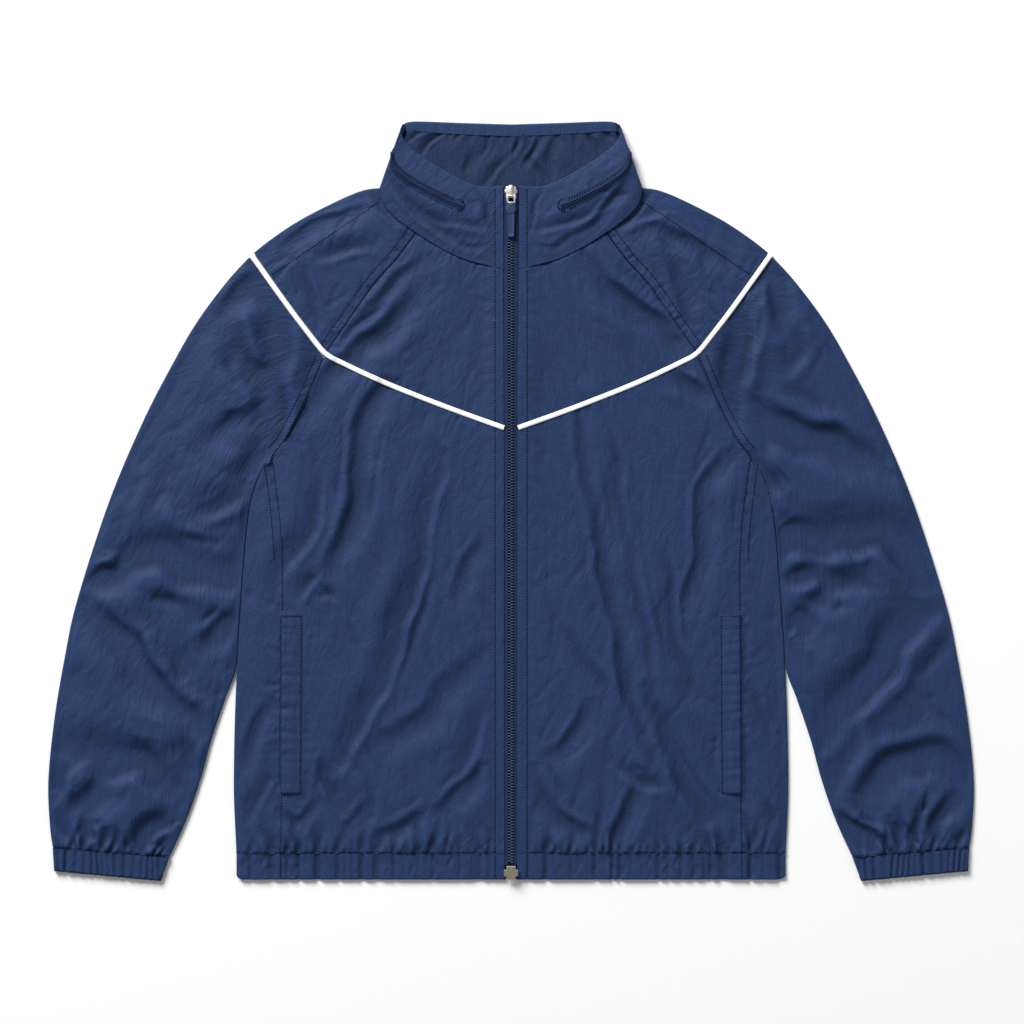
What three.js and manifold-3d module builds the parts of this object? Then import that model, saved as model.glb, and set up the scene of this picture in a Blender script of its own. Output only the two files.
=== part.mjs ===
// A windbreaker jacket with a hood stowed in its stand collar, laid out flat on its back.
// Lengths are millimetres. +X is to the right as one looks down on the front, +Y runs from the
// hem to the collar, and +Z is up from the surface that the jacket lies on. Left and right in
// the names are the wearer's, so the left half is at +X.
//
// The tables give places in the plan on the +X half: x from the centre front and y above the
// hem's lower edge. The other half mirrors them, and only the creases differ.
import * as THREE from "three";
import { mergeVertices } from "three/addons/utils/BufferGeometryUtils.js";
import Module from "manifold-3d";

const { lerp: mix, clamp, smoothstep, degToRad } = THREE.MathUtils;

// Cloth
const WALL = 1.4; // shell cloth with its turnings, as thick as the solids show it
const SEAM = 0.3; // room left between two pieces at a seam
const HALF_SEAM = SEAM / 2;
const PUFF = 5.6; // height of the upper layer where it lies loose
const PUFF_REACH = 36; // how far in from a fold the upper layer rises to that
const FOLD = 3.6; // height of the jacket where it is folded over at a side
const ROUND = 1.8; // how far the fold's rounding reaches in
const FOLD_CLEAR = 3.2; // and how near to the fold the next points of the wall come
const FOLD_INSIDE = 0.7; // how much further in the rounding's inner face starts
const FOLD_THICK = 1.7; // cloth thickness on the fold's outermost line
const LOWEST = 3.2; // bottom of the deepest crease in the upper layer
const HIGHEST = 8.2; // top of the highest ridge
const LAYER_ROOM = 3.9; // most room between the upper and the lower layer

// Jacket
const HEM_DEPTH = 26;
const HEM_HEIGHT = 4.7;
const HEM_WAVES = 13; // gathers on each front of the hem band
const HEM_WAVE = 0.6;
const ZIP_HALF = 6.7; // from the centre front to a front's edge
const NECK_RISE = 2; // the fronts climb to the collar's thickness
const NECK_REACH = 110;
const GATHER = 0.9; // gathers of the fronts into the hem and of the sleeves into the cuffs
const GATHER_REACH = 34;
const SIDE_X = 232; // the side seam at the hem
const ZIP_SLOPE = [60, 620]; // the zip climbs from the hem's height to the collar's between these

// Seams and folds of the plan
const HEM_CORNER = [SIDE_X, HEM_DEPTH];
const UNDERARM = [240, 418];
const UNDERARM_SHARE = 0.76; // share of a lower front's outer edge that is below the underarm
const YOKE_POINT = [186, 525.5]; // where the piping and the armhole seam meet
const SIDE_SEAM = [HEM_CORNER, [231, 80], [230, 265], [230, 320], [232, 355], [236, 390], UNDERARM];
const ARMHOLE_BELOW = [UNDERARM, [237, 426], [226, 440], [216.7, 457], [206, 478], YOKE_POINT];
const ARMHOLE_ABOVE = [YOKE_POINT, [158, 565.7], [136.5, 596], [114, 621], [95, 647]];
const PIPING_FRONT = [[ZIP_HALF, 452], [70, 475], [131, 499.5], YOKE_POINT];
const PIPING_SLEEVE = [YOKE_POINT, [219.5, 569], [260, 625.5]];
const NECKLINE = [[7.5, 610.5], [45, 620], [70, 631.5], [95, 647], [115, 661.5], [128, 677],
  [131.5, 692.5]];
const NECK_AT_ARMHOLE = 0.615; // share of the neckline's length from the zip to the armhole seam
const NECK_AT_SHOULDER = 0.91; // and to the shoulder seam
const SHOULDER_END = 0.66; // share of the sleeve piping's length to the shoulder seam
const SHOULDER_FOLD = [[131.5, 692.5], [148.5, 690], [173, 680], [212, 660], [242, 640], [260, 625.5]];
const BACK_NECK = [[131.5, 692.5], [82, 677], [40, 670], [0, 668]];
const BODY_FOLD = [[275, HEM_DEPTH], [277.5, 80], [277.5, 120], [276, 180], [273, 240], [271, 270],
  [268, 313], [265, 348], [261, 376], [255, 397], [247.5, 414.5]];
const SLEEVE_FOLD = [[260, 625.5], [283.5, 600], [313.5, 560], [337, 520], [368, 460], [402, 380],
  [434.5, 280], [447.5, 220], [457.5, 160], [463.5, 100], [462, 55], [459, 32]];
const ARMHOLE_SHARE = 6 / 7; // share of a sleeve's lower armhole that is above the underarm
const BEND_FADE = [4, 40]; // how fast the armhole's bend fades down the sleeve: outside, inside
const SLEEVE_INSIDE = [[249.8, 413], [257.6, 396.4], [263.6, 375.8], [267.5, 348], [270.4, 313],
  [273.4, 270], [275.4, 240], [278, 205], [287, 180], [300, 140], [311, 100], [325, 60], [342, 22.5]];
const CUFF = { top: [[459, 31.5], [342, 22]], bottom: [[457.5, 9], [350.5, -1]] };
const CUFF_HEIGHT = 4.6;
const CUFF_RIBS = 14; // elastic ribs on the upper side of a cuff
const CUFF_RIB = 0.7;

// Collar, a band that runs from the zip round the side fold to the centre back
const COLLAR_FRONT_TOP = [[8, 694.5], [32, 694], [57, 704.5], [89, 724], [107, 741], [108.5, 756.5]];
const COLLAR_BACK_TOP = [[108.5, 756.5], [96, 759], [50, 757.5], [0, 756]];
const COLLAR_LIFT = 1.3; // the hood's zip lies under the back of the collar
const COLLAR_INSIDE = 5.3; // under the front of the collar
const COLLAR_TOP = 8.4; // front of the collar along its edges
const COLLAR_PUFF = 3; // and how much the stowed hood swells it between them
const COLLAR_SWELL = [10, 60]; // the swelling starts and is full this far from the centre front
const COLLAR_ROUND = 2.6;
const HOOD_ZIP = { row: 2, shares: [0.45, 0.95], start: 3, thick: 1 }; // on the collar's third row
const FACING = { below: 0.04, above: 0.87, side: 0.93, low: 3.2, thick: 1.4, wrinkle: 0.35 };

// Trim
const PIPE_HALF = 1.8; // half the width of the white piping
const PIPE_BEAD = 1;
const PIPE_STRETCH = { front: [0.004, 0.988], sleeve: [0.014, 1] }; // shares of its seam that it covers
const POCKET = { columns: 2, low: 80, high: 266, edge: 1, lift: 0.5, thick: 1.3 };
const TAPE = { inner: 3, outer: 6.3, drop: 0.7, thick: 1.2, start: 15, end: 691 };
const CHAIN = { half: 2.6, rise: 0.5, thick: 1.9, start: 15, end: 677 };
const BOX = { width: 9.4, lugs: 14.3, low: 0.8, high: 14.1, lugLow: 4, lugHigh: 10.5, thick: 3.4,
  bevel: 0.6, lugBevel: 0.4, lift: 0.4 };
const SLIDER = { y: 687, length: 15, top: 13.4, waist: 9.6, nose: 6.4, shoulder: 2, flare: 1,
  thick: 1.7, bevel: 0.5, lift: 0.4 };
const BRIDGE = { width: 5, length: 12, height: 3.2, bevel: 0.4 };
const PULL = { pivotY: 682.5, legGap: 0.4, leg: 1.4, legEnd: 674, tongue: 1.5, lap: 0.5, eye: 0.5,
  thick: 1.6, bevel: 0.3, lift: 0.4, droop: 1.6 };
const GRIP = { top: 672, head: 5.2, width: 6, tip: 5, end: 642, thick: 2.4, corner: 1.2, waist: 0.45,
  bevel: 0.5 };
const CORNER_STEPS = 6; // straight stretches in a rounded corner of a hard piece

// Grid of each piece: cells across and cells along
const GRID = {
  lower: [20, 20], upper: [10, 8], yoke: [7, 6], shoulder: 7, sleeve: [14, 22], side: 14,
  back: [12, 8], above: 4, below: 4, cuffBelow: 4, hemBack: 12, facing: [16, 5],
  piping: 12, collarFront: 8, collarBack: 5, collarRows: 5, zip: 12,
  lowerBias: 0.35, sideBias: -0.6, sleeveBelow: [0.25, 0.5, 0.75],
};

// Creases of the cloth: the line of each trough in the plan, half its width and its depth.
// The soft ridges beside it come with it. These x are signed, since the two halves differ.
const BODY_CREASES = [
  { path: [[-71, 425], [-99, 290], [-143, 168], [-178, 114]], width: 12, depth: 2.3 },
  { path: [[-122, 495], [-147, 455], [-158, 370], [-180, 305]], width: 11, depth: 2.4 },
  { path: [[-191, 415], [-200, 360], [-226, 300]], width: 10, depth: 1.6 },
  { path: [[-86, 595], [-116, 560], [-161, 518], [-204, 472]], width: 11, depth: 2.2 },
  { path: [[-26, 230], [-56, 195], [-136, 130]], width: 12, depth: 1.5 },
  { path: [[-29, 112], [-71, 65]], width: 11, depth: 1.8 },
  { path: [[-189, 115], [-181, 85], [-167, 55]], width: 9, depth: 1.8 },
  { path: [[-26, 345], [-56, 280]], width: 10, depth: 1.2 },
  { path: [[-150, 640], [-200, 590]], width: 12, depth: 1.2 },
  { path: [[-246, 200], [-266, 115]], width: 9, depth: 1 },
  { path: [[66, 465], [89, 340], [107, 245], [141, 115]], width: 11, depth: 2 },
  { path: [[92, 470], [109, 380], [132, 260], [139, 190]], width: 11, depth: 1.9 },
  { path: [[139, 185], [164, 115], [197, 62]], width: 11, depth: 2.4 },
  { path: [[157, 320], [161, 260], [184, 185]], width: 10, depth: 1.4 },
  { path: [[214, 425], [194, 390], [186, 310], [174, 275]], width: 10, depth: 2 },
  { path: [[74, 618], [129, 570], [169, 532]], width: 12, depth: 2.3 },
  { path: [[164, 508], [198, 478]], width: 10, depth: 1.6 },
  { path: [[80, 173], [34, 123]], width: 10, depth: 1.2 },
  { path: [[126, 95], [104, 35]], width: 10, depth: 1.9 },
  { path: [[22, 110], [39, 75], [79, 45]], width: 10, depth: 1.6 },
  { path: [[59, 245], [97, 180]], width: 10, depth: 1.1 },
  { path: [[150, 655], [225, 612]], width: 11, depth: 1.4 },
  { path: [[254, 200], [260, 80]], width: 8, depth: 0.8 },
];
const SLEEVE_CREASES = [
  { path: [[-423, 294], [-384, 322], [-346, 317], [-272, 302]], width: 16, depth: 2.4 },
  { path: [[-423, 278], [-391, 240], [-336, 175], [-313, 140]], width: 13, depth: 2.3 },
  { path: [[-270, 260], [-306, 226]], width: 12, depth: 1.6 },
  { path: [[-452, 126], [-401, 125], [-351, 95], [-330, 76]], width: 13, depth: 2 },
  { path: [[-401, 120], [-431, 62]], width: 12, depth: 1.6 },
  { path: [[-246, 601], [-232, 540], [-235, 466], [-258, 412]], width: 12, depth: 2.2 },
  { path: [[-283, 568], [-271, 530], [-238, 495]], width: 12, depth: 1.6 },
  { path: [[-273, 393], [-291, 375], [-321, 370]], width: 12, depth: 1.3 },
  { path: [[-243, 478], [-286, 450], [-312, 425]], width: 12, depth: 1.2 },
  { path: [[-343, 410], [-356, 350]], width: 13, depth: 1 },
  { path: [[232, 472], [299, 445], [372, 413]], width: 14, depth: 2.3 },
  { path: [[234, 575], [226, 520], [229, 475]], width: 12, depth: 2.2 },
  { path: [[262, 602], [286, 550], [274, 510]], width: 12, depth: 1.6 },
  { path: [[244, 420], [272, 382]], width: 10, depth: 1.8 },
  { path: [[266, 323], [324, 340], [384, 330], [414, 305]], width: 16, depth: 2.4 },
  { path: [[267, 300], [309, 308], [329, 292], [301, 265]], width: 12, depth: 1.8 },
  { path: [[274, 255], [297, 240]], width: 11, depth: 1.2 },
  { path: [[421, 273], [369, 210], [311, 138]], width: 13, depth: 2.4 },
  { path: [[349, 185], [339, 140], [324, 95]], width: 11, depth: 1.6 },
  { path: [[354, 75], [399, 125], [444, 115], [458, 88]], width: 13, depth: 2 },
  { path: [[329, 60], [376, 34]], width: 10, depth: 1.8 },
  { path: [[419, 36], [444, 77]], width: 10, depth: 1.6 },
];
const COLLAR_CREASES = [
  { path: [[30, 640], [70, 665], [112, 700]], width: 8, depth: 1.5 },
  { path: [[22, 622], [75, 648], [120, 684]], width: 7, depth: 1.6 },
  { path: [[24, 668], [60, 690], [100, 724]], width: 8, depth: 1.2 },
];
const RIDGE = 0.45; // a ridge's height, as a share of its crease's depth
const RIDGE_PLACE = 1.9; // and how far from the crease it runs, in crease widths
const TAPER = [0.1, 0.9]; // the stretch of a half wave that fades a crease out at its ends

// The plan

const pointOf = ([x, y]) => new THREE.Vector2(x, y);

// A smooth line through a table of places, read by its share of the length from 0 to 1.
function through(places) {
  const curve = new THREE.SplineCurve(places.map(pointOf));
  return (share) => curve.getPointAt(clamp(share, 0, 1));
}

// Straight stretches through a table of places, read the same way.
function straight(places) {
  const path = new THREE.CurvePath();
  for (let i = 1; i < places.length; i++) {
    path.add(new THREE.LineCurve(pointOf(places[i - 1]), pointOf(places[i])));
  }
  return (share) => path.getPoint(clamp(share, 0, 1));
}

const backwards = (line) => (share) => line(1 - share);
const stretch = (line, from, to) => (share) => line(mix(from, to, share));

// Two lines end to end, the first one up to the given share.
function joined(first, second, share = 0.5) {
  return (s) => (s < share ? first(s / share) : second((s - share) / (1 - share)));
}

const seams = {
  side: through(SIDE_SEAM),
  armholeBelow: through(ARMHOLE_BELOW),
  armholeAbove: through(ARMHOLE_ABOVE),
  pipingFront: through(PIPING_FRONT),
  pipingSleeve: through(PIPING_SLEEVE),
  neckline: through(NECKLINE),
  shoulderFold: through(SHOULDER_FOLD),
  backNeck: straight(BACK_NECK),
  bodyFold: through(BODY_FOLD),
  sleeveFold: through(SLEEVE_FOLD),
  sleeveInside: through(SLEEVE_INSIDE),
  collarFrontTop: through(COLLAR_FRONT_TOP),
  collarBackTop: through(COLLAR_BACK_TOP),
};

// The nearest place on a table's line: how far it is, and its share of the line's length.
function nearest(places, x, y) {
  let best = { distance: Infinity, share: 0 };
  let walked = 0;
  for (let i = 1; i < places.length; i++) {
    const [ax, ay] = places[i - 1];
    const [bx, by] = places[i];
    const length = Math.hypot(bx - ax, by - ay);
    const along = clamp(((x - ax) * (bx - ax) + (y - ay) * (by - ay)) / length ** 2, 0, 1);
    const distance = Math.hypot(x - mix(ax, bx, along), y - mix(ay, by, along));
    if (distance < best.distance) best = { distance, share: walked + along * length };
    walked += length;
  }
  return { distance: best.distance, share: best.share / walked };
}

const distanceTo = (places, x, y) => nearest(places, x, y).distance;
const bell = (x) => Math.exp(-x * x);

// Height that a table of creases adds to the cloth at a place.
function creaseHeight(creases, x, y) {
  return creases.reduce((height, { path, width, depth }) => {
    const { distance, share } = nearest(path, x, y);
    const taper = Math.sin(Math.PI * mix(...TAPER, share));
    const ridge = RIDGE * bell(distance / width - RIDGE_PLACE);
    return height + depth * taper * (ridge - bell(distance / width));
  }, 0);
}

// Height of the outer face of the fronts and yokes.
function bodyHeight(x, y) {
  const half = Math.abs(x);
  const fromFold = Math.min(distanceTo(BODY_FOLD, half, y), distanceTo(SHOULDER_FOLD, half, y));
  const nearNeck = 1 - smoothstep(distanceTo(NECKLINE, half, y), 0, NECK_REACH);
  const rise = NECK_RISE * nearNeck * smoothstep(fromFold, 0, PUFF_REACH);
  const loose = mix(FOLD, PUFF, smoothstep(fromFold, 0, PUFF_REACH)) + rise;
  return clamp(loose + creaseHeight(BODY_CREASES, x, y), LOWEST, HIGHEST);
}

// Height of the outer face of a sleeve.
function sleeveHeight(x, y) {
  const half = Math.abs(x);
  const fromFold = Math.min(distanceTo(SLEEVE_FOLD, half, y), distanceTo(SLEEVE_INSIDE, half, y));
  const loose = mix(FOLD, PUFF, smoothstep(fromFold, 0, PUFF_REACH));
  const cuff = smoothstep(distanceTo(CUFF.top, half, y), 0, GATHER_REACH);
  const height = mix(Math.min(loose, CUFF_HEIGHT), loose + creaseHeight(SLEEVE_CREASES, x, y), cuff);
  return clamp(height, LOWEST, HIGHEST);
}

const zipHeight = (y) => mix(HEM_HEIGHT, COLLAR_TOP, smoothstep(y, ...ZIP_SLOPE));
const wave = (share, waves) => Math.cos(2 * Math.PI * waves * share);

// Walls of cloth

// A four-sided patch of the plan between four lines: low and high run across, start and end up.
function patch({ low, high, start, end }, across, up) {
  const corners = [low(0), low(1), high(0), high(1)];
  return up.map((t) => steps(across).map((s) => {
    const blend = (axis) => {
      const [a, b, c, d] = corners.map((corner) => corner[axis]);
      const ruled = mix(low(s)[axis], high(s)[axis], t) + mix(start(t)[axis], end(t)[axis], s);
      return ruled - mix(mix(a, b, s), mix(c, d, s), t);
    };
    return new THREE.Vector2(blend("x"), blend("y"));
  }));
}

// Shares from 0 to 1, closer together at the start where bias is above 0, and at the end below.
function steps(count, bias = 0) {
  return Array.from({ length: count + 1 }, (_, i) => mix(i / count, (i / count) ** 2, bias));
}

// Which side of a line of places its neighbour lies on: 1 for the left, as one goes along it.
function sideOf(line, neighbour) {
  const m = Math.floor(line.length / 2);
  return Math.sign(line[m].clone().sub(line[m - 1]).cross(neighbour[m].clone().sub(line[m])));
}

// How a place on a line moves when the line is drawn aside by 1, mitred where it bends.
function aside(before, at, after, way) {
  const normals = [[before, at], [at, after]].filter(([a, b]) => a && b)
    .map(([a, b]) => new THREE.Vector2(a.y - b.y, b.x - a.x).normalize().multiplyScalar(way));
  const [n, m = n] = normals;
  return n.clone().add(m).divideScalar(1 + n.dot(m));
}

// A patch drawn in from its edges by the given distances, to leave room at the seams. An edge
// with no distance is free, one with 0 stays on its line, and a function gives one for each place.
function drawnIn(plan, distances) {
  const column = (c) => plan.map((row) => row[c]);
  const last = { row: plan.length - 1, column: plan[0].length - 1 };
  const edges = [
    { by: distances.low, line: plan[0], inside: plan[1], place: (r, c) => r === 0 && c },
    { by: distances.high, line: plan[last.row], inside: plan[last.row - 1],
      place: (r, c) => r === last.row && c },
    { by: distances.start, line: column(0), inside: column(1), place: (r, c) => c === 0 && r },
    { by: distances.end, line: column(last.column), inside: column(last.column - 1),
      place: (r, c) => c === last.column && r },
  ].filter(({ by }) => by !== undefined);
  for (const edge of edges) {
    const { by } = edge;
    edge.by = typeof by === "function" ? by : () => by;
    edge.way = sideOf(edge.line, edge.inside);
  }
  return plan.map((row, r) => row.map((at, c) => {
    const pulls = edges.map(({ by, line, way, place }) => ({ by, line, way, i: place(r, c) }))
      .filter(({ i }) => i !== false)
      .map(({ by, line, way, i }) => [aside(line[i - 1], at, line[i + 1], way), by(i)]);
    if (!pulls.length) return at;
    const [[n, d], second] = pulls;
    if (!second) return at.clone().addScaledVector(n, d);
    const [m, e] = second;
    const turn = n.cross(m);
    return new THREE.Vector2(at.x + (d * m.y - e * n.y) / turn, at.y + (e * n.x - d * m.x) / turn);
  }));
}

// A pair of points of a wall at one place: the outer face and the inner one.
function pair(side, at, outer, inner, room = at) {
  return {
    outer: new THREE.Vector3(side * at.x, at.y, outer),
    inner: new THREE.Vector3(side * room.x, room.y, inner),
  };
}

// A pair in the upper layer, whose wall thickens where it would stand too far off the back.
function upperPair(side, at, height, wall = WALL) {
  return pair(side, at, height, Math.min(height - wall, WALL + LAYER_ROOM));
}

const lowerPair = (side, at) => pair(side, at, 0, WALL);

// Three pairs round a fold, from the upper layer to the lower one. Above and below are the next
// places of the two layers in from the fold's edge.
function foldPairs(side, edge, above, below, fold = {}) {
  const { top = FOLD, base = 0, round = ROUND, inside = top - WALL } = fold;
  const towards = (place) => place.clone().sub(edge).normalize();
  const [a, b] = [towards(above), towards(below)];
  const middle = a.clone().add(b).normalize();
  const from = (way, by) => edge.clone().addScaledVector(way, by);
  return [
    pair(side, from(a, round), top, inside, from(a, round + FOLD_INSIDE)),
    pair(side, edge, (top + base) / 2, (inside + base + WALL) / 2, from(middle, FOLD_THICK)),
    pair(side, from(b, round), base, base + WALL, from(b, round + FOLD_INSIDE)),
  ];
}

// A closed mesh from rows of pairs. Ringed rows close on themselves, as round a sleeve, and their
// cells split on the shorter diagonal, which keeps them clear of the side panels.
function wallGeometry(rows, ringed = false) {
  const columns = rows[0].length;
  const positions = [];
  const index = [];
  for (const row of rows) for (const { outer } of row) positions.push(outer.x, outer.y, outer.z);
  for (const row of rows) for (const { inner } of row) positions.push(inner.x, inner.y, inner.z);
  const outerAt = (r, c) => r * columns + (c % columns);
  const innerAt = (r, c) => outerAt(r, c) + rows.length * columns;
  const point = (i) => new THREE.Vector3().fromArray(positions, 3 * i);
  const apart = (i, j) => point(i).distanceTo(point(j));
  const quad = (a, b, c, d) => {
    if (ringed && apart(b, d) < apart(a, c)) index.push(a, b, d, b, c, d);
    else index.push(a, b, c, a, c, d);
  };
  const cells = ringed ? columns : columns - 1;
  for (let r = 0; r + 1 < rows.length; r++) {
    for (let c = 0; c < cells; c++) {
      quad(outerAt(r, c), outerAt(r, c + 1), outerAt(r + 1, c + 1), outerAt(r + 1, c));
      quad(innerAt(r, c), innerAt(r + 1, c), innerAt(r + 1, c + 1), innerAt(r, c + 1));
    }
    if (ringed) continue;
    quad(outerAt(r, 0), outerAt(r + 1, 0), innerAt(r + 1, 0), innerAt(r, 0));
    quad(outerAt(r, cells), innerAt(r, cells), innerAt(r + 1, cells), outerAt(r + 1, cells));
  }
  const last = rows.length - 1;
  for (let c = 0; c < cells; c++) {
    quad(outerAt(0, c), innerAt(0, c), innerAt(0, c + 1), outerAt(0, c + 1));
    quad(outerAt(last, c), outerAt(last, c + 1), innerAt(last, c + 1), innerAt(last, c));
  }
  const geometry = new THREE.BufferGeometry();
  geometry.setAttribute("position", new THREE.Float32BufferAttribute(positions, 3));
  geometry.setIndex(facingOut(positions, index));
  geometry.computeVertexNormals();
  return geometry;
}

// The same triangles, turned round if they enclose a negative volume.
function facingOut(positions, index) {
  const corner = (i) => new THREE.Vector3().fromArray(positions, 3 * index[i]);
  let volume = 0;
  for (let i = 0; i < index.length; i += 3) {
    volume += corner(i).dot(corner(i + 1).cross(corner(i + 2)));
  }
  return volume > 0 ? index : index.slice().reverse();
}

// Pieces of the body

const upperRows = (side, plan, height) =>
  plan.map((row, r) => row.map((at, c) => upperPair(side, at, height(side * at.x, at.y, r, c))));

function frontLowerPlan() {
  const [across, along] = GRID.lower;
  const end = joined(seams.side, seams.armholeBelow, UNDERARM_SHARE);
  const plan = patch({
    low: straight([[ZIP_HALF, HEM_DEPTH], HEM_CORNER]),
    high: seams.pipingFront,
    start: straight([[ZIP_HALF, HEM_DEPTH], PIPING_FRONT[0]]),
    end,
  }, across, steps(along, GRID.lowerBias));
  return drawnIn(plan, { low: HALF_SEAM, high: PIPE_HALF + SEAM, start: 0, end: HALF_SEAM });
}

function frontLowerHeight(x, y, r, c) {
  const gathers = Math.exp(-(y - HEM_DEPTH) / GATHER_REACH);
  const body = mix(bodyHeight(x, y), Math.min(HEM_HEIGHT, bodyHeight(x, y)), gathers);
  return Math.max(body + GATHER * gathers * wave(c / 2, 1), LOWEST);
}

const frontLower = (side) => wallGeometry(upperRows(side, frontLowerPlan(), frontLowerHeight));

function frontUpper(side) {
  const plan = patch({
    low: seams.pipingFront,
    high: stretch(seams.neckline, 0, NECK_AT_ARMHOLE),
    start: straight([PIPING_FRONT[0], NECKLINE[0]]),
    end: seams.armholeAbove,
  }, GRID.upper[0], steps(GRID.upper[1]));
  const room = { low: PIPE_HALF + SEAM, high: HALF_SEAM, start: 0, end: HALF_SEAM };
  return wallGeometry(upperRows(side, drawnIn(plan, room), bodyHeight));
}

function yokeFront(side) {
  const end = stretch(seams.pipingSleeve, 0, SHOULDER_END);
  const start = stretch(seams.neckline, NECK_AT_ARMHOLE, NECK_AT_SHOULDER);
  const plan = patch({
    low: backwards(seams.armholeAbove),
    high: straight([start(1).toArray(), end(1).toArray()]),
    start,
    end,
  }, GRID.yoke[0], steps(GRID.yoke[1]));
  const room = { low: HALF_SEAM, high: HALF_SEAM, start: HALF_SEAM, end: PIPE_HALF + SEAM };
  return wallGeometry(upperRows(side, drawnIn(plan, room), bodyHeight));
}

// The places of a row between a seam and a fold, spaced out so that they clear its rounding.
function clearOfFold(row, edge, seam) {
  const width = edge.distanceTo(seam);
  return row.map((at) => {
    const away = at.clone().sub(edge);
    return edge.clone().addScaledVector(away, FOLD_CLEAR / away.length() + 1 - FOLD_CLEAR / width);
  });
}

// Rows across a piece that turns round a fold: over the top to it, and back below.
function wrapRows(side, above, below, height, fold) {
  return above.map((row, r) => {
    const edge = row[row.length - 1];
    const top = clearOfFold(row.slice(0, -1), edge, row[0]);
    const bottom = clearOfFold(below[r].slice(1), edge, below[r][below[r].length - 1]);
    return [
      ...top.map((at) => upperPair(side, at, height(side * at.x, at.y))),
      ...foldPairs(side, edge, top[top.length - 1], bottom[0], fold),
      ...bottom.map((at) => lowerPair(side, at)),
    ];
  });
}

// The part of the yoke that turns over the shoulder, from its front seam to the back armhole.
function yokeBack(side) {
  const neck = seams.neckline(NECK_AT_SHOULDER);
  const shoulder = straight([neck.toArray(), seams.pipingSleeve(SHOULDER_END).toArray()]);
  const above = patch({
    low: straight([neck.toArray(), NECKLINE[NECKLINE.length - 1]]),
    high: stretch(seams.pipingSleeve, SHOULDER_END, 1),
    start: shoulder,
    end: seams.shoulderFold,
  }, GRID.above, steps(GRID.shoulder));
  const below = patch({
    low: straight(BACK_NECK.slice(0, 2)),
    high: backwards(seams.pipingSleeve),
    start: seams.shoulderFold,
    end: straight([BACK_NECK[1], YOKE_POINT]),
  }, GRID.below, steps(GRID.shoulder));
  const room = { low: SEAM, high: PIPE_HALF + SEAM };
  return wallGeometry(wrapRows(side,
    drawnIn(above, { ...room, start: HALF_SEAM, end: 0 }),
    drawnIn(below, { ...room, start: 0, end: HALF_SEAM }),
    bodyHeight));
}

function sidePanel(side) {
  const bounds = {
    low: straight([HEM_CORNER, BODY_FOLD[0]]),
    high: straight([UNDERARM, BODY_FOLD[BODY_FOLD.length - 1]]),
    start: seams.side,
    end: seams.bodyFold,
  };
  const up = steps(GRID.side, GRID.sideBias);
  const above = patch(bounds, GRID.above, up);
  const below = patch(bounds, GRID.below, up).map((row) => row.reverse());
  const room = { low: HALF_SEAM, high: 2 * SEAM };
  return wallGeometry(wrapRows(side,
    drawnIn(above, { ...room, start: HALF_SEAM, end: 0 }),
    drawnIn(below, { ...room, start: 0, end: HALF_SEAM }),
    bodyHeight));
}

// The back is one piece, flat on the surface, so its outline is simply as thick as the cloth.
function back() {
  const edge = [
    ...steps(GRID.back[0]).map(seams.side),
    ...steps(GRID.back[1]).slice(1).map(seams.armholeBelow),
    pointOf(BACK_NECK[1]),
    pointOf(BACK_NECK[2]),
  ];
  const inset = edge.map((at, i) =>
    at.clone().addScaledVector(aside(edge[i - 1], at, edge[i + 1], 1), SEAM));
  inset[0].y = HEM_DEPTH + HALF_SEAM;
  const mirrored = inset.slice().reverse().map((at) => new THREE.Vector2(-at.x, at.y));
  const centre = new THREE.Vector2(0, BACK_NECK[3][1] - SEAM);
  const outline = new THREE.Shape([...inset, centre, ...mirrored]);
  return new THREE.ExtrudeGeometry(outline, { depth: WALL, bevelEnabled: false });
}

// Sleeves and cuffs

// The plan of a sleeve's upper side, row by row from the armhole to the cuff. The armhole's bend
// fades out down the sleeve, soonest at the underarm.
function sleevePlan() {
  const [across, along] = GRID.sleeve;
  const underarm = straight([UNDERARM, SLEEVE_INSIDE[0]]);
  const lower = joined(backwards(seams.armholeBelow), underarm, ARMHOLE_SHARE);
  const armhole = joined(backwards(seams.pipingSleeve), lower);
  const [outer, inner] = [seams.sleeveFold, seams.sleeveInside];
  const plan = steps(along).map((v) => steps(across).map((u) => {
    const bend = armhole(u).sub(armhole(0).lerp(armhole(1), u));
    const fade = (1 - v) ** mix(...BEND_FADE, u ** 3);
    return outer(v).lerp(inner(v), u).addScaledVector(bend, fade);
  }));
  const room = (c) => (c > across / 2 ? SEAM : PIPE_HALF + SEAM);
  return drawnIn(plan, { low: room, high: HALF_SEAM });
}

// A ring of pairs: over the top from the outer fold to the inner one, and back below.
function ring(side, row, below, pairAt) {
  const last = row.length - 1;
  const top = row.slice(1, last);
  const bottom = below.map((share) => row[Math.round(share * last)]).reverse();
  return [
    ...top.map((at, c) => pairAt(at, c + 1)),
    ...foldPairs(side, row[last], row[last - 1], bottom[0]),
    ...bottom.map((at) => lowerPair(side, at)),
    ...foldPairs(side, row[0], row[1], bottom[bottom.length - 1]).reverse(),
  ];
}

function sleeve(side) {
  const plan = sleevePlan();
  const rows = plan.map((row) => ring(side, row, GRID.sleeveBelow, (at, c) => {
    const gathers = Math.exp(-distanceTo(CUFF.top, at.x, at.y) / GATHER_REACH);
    const height = sleeveHeight(side * at.x, at.y) + GATHER * gathers * wave(c / 2, 1);
    return upperPair(side, at, Math.max(height, LOWEST));
  }));
  return wallGeometry(rows, true);
}

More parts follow.
